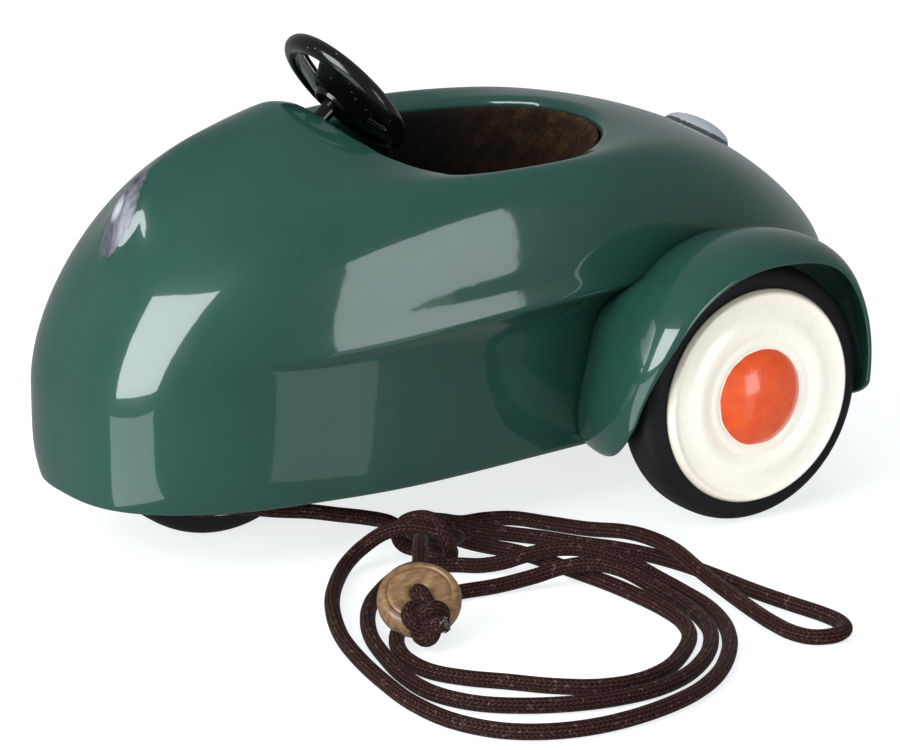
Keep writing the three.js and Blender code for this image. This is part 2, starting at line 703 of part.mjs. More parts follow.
// The tail runs from the big knot over the coil to the bead's back.
const beadBack = BEAD.clone().addScaledVector(BEAD_FACE, -BEAD_T / 2 + 0.5);
const beadBehind = BEAD.clone().addScaledVector(BEAD_FACE, -BEAD_T / 2 - 5);
const TAIL = [[56.6, -45.3, 8.8], [61.1, -48.5, 8.8], [68, -53.1, 8.2], [74, -57.2, 6.2],
  [79.2, -60.6, 4.6], beadBehind.toArray(), beadBack.toArray()];
add("cord_tail", cordTube(TAIL, 12), "cord");

// The coil: a flat oval ring lying on the floor beside the car.
const COIL_OUT = [[43.3, 1.3], [64.3, 10.8], [87.3, 12.3], [112.3, 3.3], [133.3, -11.7], [152.3, -35.7],
  [157.3, -59.7], [149.3, -82.7], [128.3, -92.2], [103.3, -89.7], [79.3, -82.2], [61.3, -73.2], [43.3, -58.7],
  [39.5, -47], [41, -33], [31.5, -18]];
const COIL_IN = [[67.3, -36.7], [73.3, -18.7], [94.3, -11.2], [116.3, -14.2], [129.3, -22.7],
  [138.3, -42.7], [136.3, -62.2], [122.3, -73.7], [108.3, -79.7], [91.3, -74.7], [68.3, -54.7]];

// A loop of the coil that stands out on its far side.
const BIGHT = [[103.3, 10.9, 2.2], [113.3, 12.6, 2.2], [124.3, 14.1, 2.2], [134.3, 14.3, 2.2],
  [140.9, 11.9, 2.2], [141.9, 7.9, 2.2], [137.3, 4.9, 2.2], [129.3, 2.5, 2.2], [122.3, 0.9, 2.2]];
add("cord_bight", cordTube(BIGHT, 16), "cord");

function coil() {
  const slab = (points, depth) => {
    const curve = new THREE.CatmullRomCurve3(points.map(([x, y]) => new THREE.Vector3(x, y, 0)), true);
    const loop = curve.getPoints(36).slice(0, 36).map((p) => new THREE.Vector2(p.x, p.y));
    return new THREE.ExtrudeGeometry(new THREE.Shape(loop), { depth, bevelEnabled: false });
  };
  const outer = solid(slab(COIL_OUT, 5.3).translate(0, 0, 0.2));
  const hollow = solid(slab(COIL_IN, 10));
  const clear = [knotSolid(0.4), onBead(beadBlank(0.4)), cordTube(LEAD, 14, CORD_R + GAP),
    cordTube(TAIL, 12, CORD_R + GAP), cordTube(BIGHT, 16, CORD_R + GAP)];
  return fromSolid(clear.reduce((left, piece) => left.subtract(solid(piece)), outer.subtract(hollow)));
}
add("cord_coil", coil(), "cord");

export default car;
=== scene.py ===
from math import copysign, cos, exp, pi, radians, sin, sqrt

import bmesh
import bpy
import numpy as np
from numpy.linalg import norm
from mathutils import Matrix, Quaternion, Vector
from mathutils.bvhtree import BVHTree


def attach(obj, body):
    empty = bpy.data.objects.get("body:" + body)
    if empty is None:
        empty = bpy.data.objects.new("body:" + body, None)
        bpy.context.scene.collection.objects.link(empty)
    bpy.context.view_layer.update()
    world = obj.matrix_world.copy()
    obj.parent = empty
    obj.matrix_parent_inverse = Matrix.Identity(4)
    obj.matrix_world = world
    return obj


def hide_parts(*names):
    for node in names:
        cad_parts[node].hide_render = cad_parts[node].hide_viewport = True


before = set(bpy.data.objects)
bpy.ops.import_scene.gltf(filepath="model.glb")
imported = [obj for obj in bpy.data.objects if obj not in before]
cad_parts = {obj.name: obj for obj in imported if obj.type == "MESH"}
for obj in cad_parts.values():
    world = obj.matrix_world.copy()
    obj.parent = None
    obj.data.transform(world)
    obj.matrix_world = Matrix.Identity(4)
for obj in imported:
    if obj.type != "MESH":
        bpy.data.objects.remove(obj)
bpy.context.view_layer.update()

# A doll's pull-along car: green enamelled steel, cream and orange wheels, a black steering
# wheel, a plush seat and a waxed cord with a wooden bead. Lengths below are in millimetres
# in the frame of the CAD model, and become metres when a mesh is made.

MM = 0.001
RNG = np.random.default_rng(7)

# ---- driving dimensions ----

SHEET = 1.2
SILL_Z = 16.3
NOSE_Y = -108
TAIL_Y = 108
BODY_HALF = 44
MIDDLE_Y = -2
COCKPIT_HALF = 36
COCKPIT_LONG = 42
COCKPIT_Z = 86.6
LIP_R = 2.4
NOSE_POWER = 3.05
SILL_POWER = 2.75
TAIL_POWER = 2.0
CREASE_OUT = 0.5
CREASE_IN = 1.1

WHEEL_R = 31.5
TYRE_W = 13
TYRE_HOLE_R = 22
TYRE_WALL_R = 24.4
TYRE_SHOULDER_R = 25.4
REAR_AXLE_Y = 43
FRONT_AXLE_Y = -67
REAR_WHEEL_X = 60.2
DISC_BACK = 6.8
DISC_R = 26.3

STEER_HUB = Vector((0, -29.6, 101.8))
STEER_TILT = radians(51.4)
STEER_R = 16
STEER_TUBE = 2.2
SPOKE_DISH = 3.6
SPOKE_ROOT = 5
SPOKE_TIP = 10.5
SPOKE_ROWS = 9
SPOKE_COLUMNS = (-1, -0.5, 0, 0.5, 1)
SPOKE_SECTION = [(u, -0.7) for u in SPOKE_COLUMNS] + [(u, 0.7) for u in reversed(SPOKE_COLUMNS)]

AXLE_R = 2
AXLE_GAP = 0.8
CORD_D = 3.6


def mix(a, b, t):
    return a + (b - a) * t


def smooth_step(low, high, value):
    t = np.clip((value - low) / (high - low), 0, 1)
    return t * t * (3 - 2 * t)


def add_object(name, data):
    obj = bpy.data.objects.new(name, data)
    bpy.context.scene.collection.objects.link(obj)
    return obj


# ---- camera ----

VIEW_AZIMUTH = radians(56.56)
VIEW_ELEVATION = radians(17.38)
VIEW_TARGET = Vector((26.9, -17.7, 36.6)) * MM
VIEW_DISTANCE = 1.1127
LENS = 188


def make_camera():
    back = Vector((
        sin(VIEW_AZIMUTH) * cos(VIEW_ELEVATION),
        -cos(VIEW_AZIMUTH) * cos(VIEW_ELEVATION),
        sin(VIEW_ELEVATION),
    ))
    data = bpy.data.cameras.new("camera")
    data.lens = LENS
    data.sensor_width = 36
    data.clip_start = 0.05
    camera = add_object("camera", data)
    camera.location = VIEW_TARGET + VIEW_DISTANCE * back
    camera.rotation_euler = back.to_track_quat("Z", "Y").to_euler()
    bpy.context.scene.camera = camera


make_camera()

# ---- mesh helpers ----


def shade_smooth(mesh):
    mesh.polygons.foreach_set("use_smooth", [True] * len(mesh.polygons))


def new_object(name, points, faces, smooth=True):
    mesh = bpy.data.meshes.new(name)
    mesh.from_pydata([tuple(float(c) * MM for c in p) for p in points], [], faces)
    mesh.validate()
    obj = add_object(name, mesh)
    if smooth:
        shade_smooth(mesh)
    return obj


def outward(obj, merge=False):
    """Turns the faces of a closed mesh so that they all look out, its doubled points merged first."""
    work = bmesh.new()
    work.from_mesh(obj.data)
    if merge:
        bmesh.ops.remove_doubles(work, verts=work.verts, dist=1e-6)
        bmesh.ops.dissolve_degenerate(work, edges=work.edges, dist=1e-7)
    bmesh.ops.recalc_face_normals(work, faces=work.faces)
    work.to_mesh(obj.data)
    work.free()
    return obj


def grid_faces(rows, columns, wrap_rows=False, wrap_columns=False):
    faces = []
    for i in range(rows if wrap_rows else rows - 1):
        for j in range(columns if wrap_columns else columns - 1):
            k, m = (i + 1) % rows, (j + 1) % columns
            faces.append((i * columns + j, k * columns + j, k * columns + m, i * columns + m))
    return faces


def turned(name, profile, segments=96, place=(0, 0, 0), mirror=False):
    """A closed profile of (radius, x) turned about the X axis."""
    around = np.linspace(0, 2 * pi, segments, endpoint=False)
    sign = -1 if mirror else 1
    points = [
        (sign * x + place[0], r * cos(a) + place[1], r * sin(a) + place[2])
        for a in around for r, x in profile
    ]
    return outward(new_object(name, points, grid_faces(segments, len(profile), True, True)), True)


def on_span(t, start, end, a, b):
    """Where t is between a, at start, and b, at end."""
    return (end - t) / (end - start) * a + (t - start) / (end - start) * b


def catmull(points, per_span):
    """Points along a smooth curve through the given points."""
    p = np.array(points, float)
    p = np.vstack([2 * p[0] - p[1], p, 2 * p[-1] - p[-2]])
    out = []
    for i in range(1, len(p) - 2):
        chord = [max(norm(p[k + 1] - p[k]), 1e-6) ** 0.5 for k in (i - 1, i, i + 1)]
        t0, t1 = 0, chord[0]
        t2 = t1 + chord[1]
        t3 = t2 + chord[2]
        for t in np.linspace(t1, t2, per_span, endpoint=False):
            a1 = on_span(t, t0, t1, p[i - 1], p[i])
            a2 = on_span(t, t1, t2, p[i], p[i + 1])
            a3 = on_span(t, t2, t3, p[i + 1], p[i + 2])
            b1 = on_span(t, t0, t2, a1, a2)
            b2 = on_span(t, t1, t3, a2, a3)
            out.append(on_span(t, t1, t2, b1, b2))
    out.append(p[-2])
    return np.array(out)


def spaced(line, step):
    along = np.concatenate([[0], np.cumsum(norm(np.diff(line, axis=0), axis=1))])
    at = np.linspace(0, along[-1], max(3, round(along[-1] / step) + 1))
    return np.stack([np.interp(at, along, line[:, k]) for k in range(3)], 1), along[-1]


def tube(name, line, radius, sides=16, closed=False):
    """A tube with UVs: U is the distance along it in millimetres and V goes once round."""
    count = len(line)
    if closed:
        tangent = np.roll(line, -1, 0) - np.roll(line, 1, 0)
    else:
        tangent = np.gradient(line, axis=0)
    tangent /= norm(tangent, axis=1)[:, None]
    normal = np.cross(tangent[0], (0.0, 0.3, 1.0))
    rings = []
    for i in range(count):
        normal = normal - tangent[i] * (normal @ tangent[i])
        normal /= norm(normal)
        side = np.cross(tangent[i], normal)
        r = radius[i] if np.ndim(radius) else radius
        angle = np.linspace(0, 2 * pi, sides, endpoint=False)[:, None]
        rings.append(line[i] + r * (np.cos(angle) * normal + np.sin(angle) * side))
    points = np.concatenate(rings)
    faces = grid_faces(count, sides, closed, True)
    along = np.concatenate([[0], np.cumsum(norm(np.diff(line, axis=0), axis=1))])
    if not closed:
        faces += [tuple(range(sides)), tuple(range((count - 1) * sides, count * sides))]
    obj = new_object(name, points, faces)
    uv = obj.data.uv_layers.new(name="braid")
    for polygon in obj.data.polygons:
        ids = [obj.data.loops[k].vertex_index for k in polygon.loop_indices]
        first = min(i % sides for i in ids)
        low = min(i // sides for i in ids)
        for k, i in zip(polygon.loop_indices, ids):
            ring, corner = divmod(i, sides)
            if first == 0 and corner == sides - 1 and len(ids) == 4:
                corner = -1
            at = along[ring]
            if closed and low == 0 and ring == count - 1:
                at = -along[1]
            uv.data[k].uv = (at, corner / sides)
    return outward(obj)


def joined(name, objects):
    work = bmesh.new()
    for obj in objects:
        work.from_mesh(obj.data)
        bpy.data.objects.remove(obj)
    mesh = bpy.data.meshes.new(name)
    work.to_mesh(mesh)
    work.free()
    return add_object(name, mesh)


def remesh(obj, size):
    voxels = obj.modifiers.new("voxels", "REMESH")
    voxels.mode = "VOXEL"
    voxels.voxel_size = size * MM


def apply_modifiers(obj):
    graph = bpy.context.evaluated_depsgraph_get()
    graph.update()
    mesh = bpy.data.meshes.new_from_object(obj.evaluated_get(graph))
    obj.modifiers.clear()
    obj.data = mesh


# ---- the cord's route ----

# A point without a height rests on the table.
RESTING = 1.9
LEAD = [
    (16, -85, 21), (16, -85, 17.5), (15.9, -84.2, 14.5), (15.7, -82, 12.3), (15.4, -79, 11.4),
    (14.8, -74, 10.7), (14, -67.5, 9.2), (13.6, -58.5, 6.7), (16.1, -50.2, 5.5),
    (19.4, -44.2, 4.5), (23.3, -39.4, 4), (28, -36, 3.6),
]
# in at the big knot's left, round inside it, and out over its top
KNOT_TURN = [
    (34, -34.2, 2.4), (39.9, -31.5, 2.2), (46, -29.6, 3.6), (51, -31.6, 5.8), (53, -35.4, 7.6),
    (51.4, -39.4, 9), (48, -43.6, 9.6), (44.4, -48, 7.8),
]
TURN_1 = [
    (43.2, -52.9, 4.9), (44.8, -57.4, 3.2), (48, -61.6, 2.2), (59.8, -71.4), (70.9, -78.1),
    (84.4, -84.2), (98, -88.2), (112, -91), (126, -92.6), (139, -91.2), (149.1, -86), (155, -78.5),
    (158, -70), (158.8, -61), (157.6, -50), (154.4, -39), (148.8, -29), (140.8, -20), (132, -12.8),
    (122.5, -7.6), (112.3, -4.5), (102, -3.4), (93, -3.9, 2.6), (84, -6.2, 4.4), (76, -10.4, 5.6),
    (70.5, -16, 5.6), (67, -22, 4.4), (64.5, -27.5, 2.8), (61.5, -32), (57.8, -36.8), (55, -42),
]
TURN_2 = [
    (55.2, -48.6), (58.6, -54.6), (63, -60.4), (69, -66.9), (77.4, -73.2), (88, -78.8), (99.7, -82.7),
    (111.8, -85.6), (123.5, -85.8), (133.4, -81.4), (140.2, -73.8), (145, -64.4), (147.6, -54.4),
    (147.8, -44), (144.8, -34), (138.8, -24.8), (132, -18), (124.3, -12.8), (113.9, -9.2), (103, -7.6),
    (96, -8.6, 3), (89, -11.4, 5), (83.6, -15.6, 5.7), (79.6, -21, 4.8), (77, -28, 3), (75, -37),
    (73.8, -46), (75, -54.6),
]
TURN_3 = [
    (79.9, -63.6), (87.4, -71.4), (94.6, -76.4), (103, -79.4), (112, -79.2), (119.6, -75),
    (126.6, -68.6), (134, -62), (139.8, -54.2), (141.8, -45), (139.4, -35.6), (133.4, -26.8),
    (125.4, -19), (117, -15), (108, -13.6), (98, -13.6), (88, -14.3), (78, -15.8), (68.5, -17.4),
    (62, -18.6), (56.6, -20.4),
]
# into the big knot from behind, round inside it, and out along its far side
KNOT_BACK = [
    (52.8, -23.6, 2.3), (50.4, -28, 3.6), (47.8, -32.2, 5.4), (44, -34.9, 6.4), (39.9, -34.4, 6.5),
    (37.1, -30.8, 5.8), (35.8, -25.6, 4.2), (35, -20, 2.4),
]
BIGHT = [
    (34.8, -13.4), (37.8, -7.2), (45.6, -2), (56, 1.8, 2.8), (68, 4.9, 4.9), (77, 5.8, 5.6),
    (86, 6, 5.3), (96, 5.4, 3.6), (107, 4.6, 2.3), (120, 2.6), (129.6, 1.3), (136.6, 1.3), (141.1, 3.2),
    (143, 7.8), (141.1, 12.4), (136.4, 14.3), (130, 14), (121, 12.2), (110, 10.4), (98, 9.2), (86, 7.4),
    (77, 4.8), (69.5, 1.2), (61.6, -4.2), (54, -8.8), (47, -14.4, 2), (42.6, -20.4, 2.8),
]
KNOT_OUT = [(40.2, -26, 4.6), (40.6, -31.4, 6), (44, -36.4, 6.4), (49.4, -40.6, 6.8)]
BEAD = Vector((89, -66.9, 8.8))
BEAD_FACE = Vector((0.442, -0.293, 0.848)).normalized()
BEAD_R = 9.5
BEAD_T = 6
TAIL = [
    (55, -44.4, 8.2), (61.1, -48.5, 8.8), (68, -53.1, 8.2), (74, -57.2, 6.6), (79.2, -60.6, 4.6),
    (82.9, -62.9, 2.9), (85.3, -64.4, 2.9), tuple(BEAD - BEAD_FACE * (BEAD_T / 2 + 2)),
    tuple(BEAD - BEAD_FACE * (BEAD_T / 2 - 1)),
]
CORD_STEP = 0.9

route = LEAD + KNOT_TURN + TURN_1 + TURN_2 + TURN_3 + KNOT_BACK + BIGHT + KNOT_OUT + TAIL
route = [(*point, RESTING)[:3] for point in route]
cord_line, cord_length = spaced(catmull(route, 12), CORD_STEP)
pull_cord = tube("pull_cord", cord_line, CORD_D / 2)

# a second turn of the big knot, round the strands inside it
wrap_line, _ = spaced(catmull([
    (52.6, -34.6, 2.4), (55, -36.4, 5), (54, -37.4, 8.4), (50.4, -37.6, 10.6), (46.4, -38.8, 10.6),
    (43, -41, 8.8), (41.6, -42, 5.8), (42, -40.8, 3), (44.6, -38, 1.9), (49, -35.6, 1.9),
    (53, -35, 2.4), (55.2, -36.2, 4.4),
], 10), CORD_STEP)
knot_wrap = tube("big_knot", wrap_line, CORD_D / 2)

# the small knot at the bead: out of its hole, over its lower edge, and tied in a ball
BALL = Vector((96.6, -70.2, 7.0))
BALL_RIGHT = Vector((0.551, 0.834, 0))
BALL_UP = Vector((-0.249, 0.165, 0.954))
BALL_OUT = BALL_RIGHT.cross(BALL_UP)
BALL_SCALE = 1.35


def ball_point(turn):
    """A trefoil, whose three lobes make a round knot."""
    right = sin(turn) + 2 * sin(2 * turn)
    up = cos(turn) - 2 * cos(2 * turn)
    out = -1.15 * sin(3 * turn)
    return BALL + (BALL_RIGHT * right + BALL_UP * up + BALL_OUT * out) * BALL_SCALE


end_points = [BEAD + BEAD_FACE * d for d in (0.5, 3.2)]
end_points += [ball_point(t) for t in np.linspace(0.55, 6.1, 26)]
end_points.append(BALL + BALL_RIGHT * 4.6 - BALL_UP * 0.6 + BALL_OUT * 3.4)
end_line, _ = spaced(catmull([tuple(p) for p in end_points], 8), 0.5)
end_knot = tube("end_knot", end_line, 1.85)


FIBRES = 34
FIBRE_RADII = np.array([0.42, 0.36, 0.2])
FIBRE_LEAN = 0.36
FIBRE_SPREAD = 1.6
FIBRE_SPLAY = 0.7
FIBRE_KINK = 0.12
FIBRE_SHORTEST = 0.6
FIBRE_LONGEST = 1.5
FIBRE_ROOT = 0.8


def make_cut_end():
    """The strands of the cord's cut end, splayed and stiff with wax."""
    tip = Vector(end_line[-1])
    way = Vector(end_line[-1] - end_line[-4]).normalized()
    fibres = []
    for k in range(FIBRES):
        lean = Vector(RNG.normal(0, FIBRE_LEAN, 3))
        start = tip - way * FIBRE_ROOT + (lean - way * lean.dot(way)) * FIBRE_SPREAD
        long = float(RNG.uniform(FIBRE_SHORTEST, FIBRE_LONGEST))
        end = start + (way + lean * FIBRE_SPLAY).normalized() * long
        middle = start.lerp(end, 0.5) + Vector(RNG.normal(0, FIBRE_KINK, 3))
        fibres.append(tube(f"fibre_{k}", np.array([start, middle, end]), FIBRE_RADII, 6))
    return joined("cut_end", fibres)


stop_line, _ = spaced(catmull([
    (16, -85, 20.6), (18, -83.8, 21.4), (17.2, -82.2, 22), (14.4, -82.8, 22.4), (13.6, -85.8, 22.6),
    (15.8, -87.6, 22.6), (18, -86, 23), (16.4, -84.4, 24.4), (14.6, -84.6, 25.2),
], 10), 0.6)
stop_knot = tube("stop_knot", stop_line, 1.5)


def make_bead():
    """A turned disc with a fine groove near the edge of its face."""
    half = BEAD_T / 2
    hole = CORD_D / 2 + 0.4
    profile = [(hole, -half + 0.4), (hole + 0.4, -half), (BEAD_R - 2.4, -half)]
    for k in range(13):
        a = -pi / 2 + pi * k / 12
        profile.append((BEAD_R - 1.8 + 1.8 * cos(a) ** 0.8, half * sin(a)))
    groove = BEAD_R - 2.3
    for r, depth in ((groove + 0.35, 0), (groove + 0.2, 0.25), (groove, 0.35), (groove - 0.2, 0.25),
                     (groove - 0.35, 0.02), (6, 0), (4, 0.05), (hole + 0.5, 0.1), (hole, 0.6)):
        profile.append((r, half - depth))
    obj = turned("bead", profile, 96)
    turn = Vector((1, 0, 0)).rotation_difference(BEAD_FACE).to_matrix().to_4x4()
    obj.data.transform(Matrix.Translation(BEAD * MM) @ turn)
    return obj


bead = make_bead()
cut_end = make_cut_end()

# ---- the shell ----

# The surface is a ring of ribs, one at each angle about the cockpit's middle. A rib starts
# at the sill, rises to the widest line, crosses the shoulder and rolls over the cockpit's
# edge. Angle 0 is the left side and -90 degrees is the nose.


def outline(angle, half, front, rear, nose_power=NOSE_POWER):
    c, s = np.cos(angle), np.sin(angle)
    power = mix(nose_power, TAIL_POWER, smooth_step(-0.5, 0.5, s))
    r = (np.abs(c) ** power + np.abs(s) ** power) ** (-1 / power)
    reach = np.where(s < 0, front, rear)
    return half * r * c, MIDDLE_Y + reach * r * s


def cockpit_edge(angle):
    s = np.sin(angle)
    rise = np.where(s < 0, 14 * np.clip(-s, 0, 1) ** 3.6, 2.2 * s * s)
    return np.stack([
        COCKPIT_HALF * np.cos(angle), MIDDLE_Y + COCKPIT_LONG * s, COCKPIT_Z + rise], -1)


def widest_line(angle):
    x, y = outline(angle, BODY_HALF, MIDDLE_Y - NOSE_Y, TAIL_Y - MIDDLE_Y)
    flare = 1 + 0.08 * smooth_step(-80, 15, y)
    z = (37 + 15.3 * smooth_step(-104, -72, y) + 6 * smooth_step(-70, 25, y)
         - 15 * smooth_step(50, 106, y))
    return np.stack([x * flare, y, z], -1)


def sill_line(angle):
    front, rear = MIDDLE_Y - NOSE_Y - 0.5, TAIL_Y - MIDDLE_Y - 4
    x, y = outline(angle, BODY_HALF - 1, front, rear, SILL_POWER)
    taper = 1 - 0.12 * smooth_step(-50, 25, y)
    return np.stack([x * taper, y, np.full_like(x, SILL_Z)], -1)


def hood_ridge(x, y):
    """A ridge along the hood's middle: high behind the nose and lower towards the cockpit."""
    start = smooth_step(-99, -86, y)
    end = 1 - smooth_step(-50, -42, y)
    height = mix(8.3, 1.8, smooth_step(-88, -54, y))
    return start * end * height * np.exp(-((x / 9) ** 2))


def rib_weights(angle):
    s = np.sin(angle)
    front = np.where(s < 0, s * s, 0)
    rear = np.where(s > 0, s * s, 0)
    return front, 1 - front - rear, rear


def upper_control(angle):
    """The four Bezier points of a rib's upper part, from the cockpit to the widest line."""
    front, side, rear = rib_weights(angle)
    edge, widest = cockpit_edge(angle), widest_line(angle)
    reach = 0.5 * front + 0.75 * side + 0.4 * rear
    out = mix(edge, widest, reach[:, None])
    out[:, 2] = edge[:, 2] - (2.4 * front - 7.5 * side + 0.8 * rear)
    up = widest.copy()
    up[:, 2] = mix(widest[:, 2], edge[:, 2], 0.4 * front + 0.5 * side + 0.3 * rear)
    return edge, out, up, widest


def crease(widest):
    """How sharp the swage's edge is along the widest line, from 0 to 1."""
    y = widest[:, 1]
    return smooth_step(-82, -58, y) * (1 - smooth_step(30, 60, y))


def upper_rib(angle, t):
    edge, out, up, widest = upper_control(angle)
    s = 1 - t
    p = s ** 3 * edge + 3 * s * s * t * out + 3 * s * t * t * up + t ** 3 * widest
    p[:, 2] += hood_ridge(p[:, 0], p[:, 1])
    p[:, 0] += np.sign(p[:, 0]) * CREASE_OUT * crease(widest) * exp(-((s / 0.07) ** 2))
    return p


def lower_rib(angle, t):
    widest, sill = widest_line(angle), sill_line(angle)
    swage = smooth_step(-82, 10, widest[:, 1]) * (1 - smooth_step(80, 100, widest[:, 1]))
    keep = mix(1 - t ** 5, 1 / (1 + (t / 0.13) ** 2.5), swage)
    p = mix(sill, widest, keep[:, None])
    fall = 1 - exp(-((t / 0.045) ** 2))
    p[:, 0] += np.sign(p[:, 0]) * crease(widest) * (CREASE_OUT - (CREASE_OUT + CREASE_IN) * fall)
    p[:, 2] = mix(widest[:, 2], SILL_Z, t)
    return p


def lip(angle, t):
    """The rolled edge, from where the upper part ends round to inside the cockpit."""
    edge, out, _, _ = upper_control(angle)
    inward = -(edge - np.array([0, MIDDLE_Y, 0])) * np.array([1, 1, 0])
    inward /= norm(inward, axis=1)[:, None]
    run = norm((out - edge)[:, :2], axis=1)
    start = np.arctan2(out[:, 2] - edge[:, 2], run)
    turn = mix(start, 1.95, t)
    p = edge + inward * (LIP_R * (np.sin(turn) - np.sin(start)))[:, None]
    p[:, 2] += LIP_R * (np.cos(turn) - np.cos(start))
    return p


TEARDROP_AT = np.array([0, -89.9, 81.6])
TEARDROP_UP = np.array([0, 0.469, 0.883])
TEARDROP_HALF = 12.3
TEARDROP_WIDE = 4.9
TEARDROP_HIGH = 2.0
BUTTON_AT = np.array([0, 76, 81])
BUTTON_R = 8.6
BUTTON_STEP = 0.4
BUTTON_DOME = 2.9
BUTTON_REACH = 12
SILVER_FALL = 20


def soft_max(a, b, blend):
    near = np.maximum(blend - np.abs(a - b), 0)
    return np.maximum(a, b) + near * near / (4 * blend)


def teardrop(points):
    """How far inside the teardrop's outline a point is, from 1 at its middle to 0 at its edge."""
    along = (points - TEARDROP_AT) @ TEARDROP_UP / TEARDROP_HALF
    taper = 1 - 0.62 * smooth_step(-0.3, 1.05, along)
    near = points[:, 2] > 60
    q = along ** 2 + (points[:, 0] / (TEARDROP_WIDE * taper)) ** 2
    return np.where(near & (points[:, 1] < -60), 1 - q, -4.0)


def button(points, centre, normal):
    """How far the tail's boss stands out at each point, and where it is silvered, above 0."""
    d = points - centre
    flat = d - (d @ normal)[:, None] * normal
    r = norm(flat, axis=1)
    step = BUTTON_STEP * (1 - smooth_step(BUTTON_R - 0.6, BUTTON_R + 0.4, r))
    dome = BUTTON_DOME * np.sqrt(np.clip(1 - (r / (BUTTON_R - 0.3)) ** 2, 0, 1))
    silver = SILVER_FALL * (BUTTON_R - r) / BUTTON_R
    near = np.abs(d @ normal) < BUTTON_REACH
    return np.where(near, step + dome, 0), np.where(near, silver, -1.0)


LOWER_ROWS = 60
UPPER_ROWS = 130
LIP_ROWS = 14
RIBS = 360
RIB_CROWDING = 0.33


def make_shell():
    count = RIBS
    turn = np.arange(count) / count
    # the ribs lie closer together at the nose and the tail
    angle = -pi / 2 + 2 * pi * turn - RIB_CROWDING * np.sin(4 * pi * turn)
    rows = [lower_rib(angle, t) for t in np.linspace(1, 0, LOWER_ROWS, endpoint=False) ** 1.5]
    rows += [upper_rib(angle, t) for t in np.linspace(1, 0, UPPER_ROWS, endpoint=False)]
    rows += [lip(angle, t) for t in np.linspace(0, 1, LIP_ROWS)]
    grid = np.array(rows)
    up = np.gradient(grid, axis=0)
    around = np.roll(grid, -1, 1) - np.roll(grid, 1, 1)
    normal = np.cross(around, up)
    normal /= norm(normal, axis=2)[:, :, None]
    flat = grid.reshape(-1, 3)
    normals = normal.reshape(-1, 3)

    inside = teardrop(flat)
    rise = soft_max(TEARDROP_HIGH * inside, np.zeros_like(inside), 1.2)
    rise = np.where(inside < -1.5, 0, rise)
    tail = np.argmin(norm(flat - BUTTON_AT, axis=1))
    height, on_button = button(flat, flat[tail], normals[tail])
    outer = flat + normals * (rise + height)[:, None]
    silver = np.maximum(np.clip(inside, -1, 1), np.clip(on_button, -1, 2))

    inner = flat - normals * SHEET
    inner[:count, 2] = SILL_Z
    total = len(rows) * count
    points = np.concatenate([outer, inner])
    faces = [tuple(reversed(f)) for f in grid_faces(len(rows), count, False, True)]
    back = [tuple(i + total for i in reversed(f)) for f in faces]
    rims = []
    last = (len(rows) - 1) * count
    for j in range(count):
        k = (j + 1) % count
        rims.append((j, k, k + total, j + total))
        rims.append((last + k, last + j, last + j + total, last + k + total))
    obj = new_object("shell", points, faces + back + rims)
    outward(obj)
    mask = obj.data.attributes.new("silver", "FLOAT", "POINT")
    values = np.concatenate([silver, np.full(total, -1.0)])
    mask.data.foreach_set("value", values.astype(np.float32))
    tree = BVHTree.FromPolygons([tuple(p) for p in outer], faces)
    return obj, tree


shell, shell_tree = make_shell()


BESIDE = 200


def shell_side(y, z):
    """How far out the shell's left side is at this height and place along the car."""
    hit, _, _, _ = shell_tree.ray_cast(Vector((BESIDE, y, z)), Vector((-1, 0, 0)))
    return hit.x if hit else 0.0


def drill_axle_holes():
    bpy.ops.mesh.primitive_cylinder_add(
        vertices=48, radius=(AXLE_R + AXLE_GAP) * MM, depth=0.12,
        location=(0, REAR_AXLE_Y * MM, WHEEL_R * MM), rotation=(0, pi / 2, 0))
    cutter = bpy.context.active_object
    cut = shell.modifiers.new("holes", "BOOLEAN")
    cut.operation = "DIFFERENCE"
    cut.solver = "EXACT"
    cut.object = cutter
    apply_modifiers(shell)
    bpy.data.objects.remove(cutter)


drill_axle_holes()

# ---- mudguards ----

FENDER_RIM_R = 33.4
FENDER_SHEET = 1.0
SEAM_GAP = 0.15


def fender_point(around, across):
    corner = across ** 4
    degrees = mix(203 - 20 * corner, -15 + 12 * corner, around)
    angle = radians(degrees)
    dip = exp(-(((degrees - 168) / 28) ** 2))
    seam_r = 33 - 5 * dip
    seam_y = REAR_AXLE_Y + seam_r * cos(angle)
    seam_z = WHEEL_R + seam_r * sin(angle)
    seam_x = shell_side(seam_y, max(seam_z, SILL_Z + 0.3)) + SEAM_GAP
    rim_x = 73 - 11 * smooth_step(140, 205, degrees) - 5 * (1 - smooth_step(30, 85, degrees))
    bulge = 1.5 + 3 * sin(pi * around) ** 0.7
    bow = bulge * max(sin(pi * across), 0) ** 0.8
    rim_r = FENDER_RIM_R + 2.2 * exp(-(((degrees - 48) / 24) ** 2))
    rim_r -= 1.6 * (1 - smooth_step(-15, 35, degrees))
    r = mix(seam_r, rim_r, 1 - (1 - across) ** 2) + bow
    return Vector((
        mix(seam_x, rim_x, 1 - (1 - across) ** 1.3),
        REAR_AXLE_Y + r * cos(angle), WHEEL_R + r * sin(angle)))


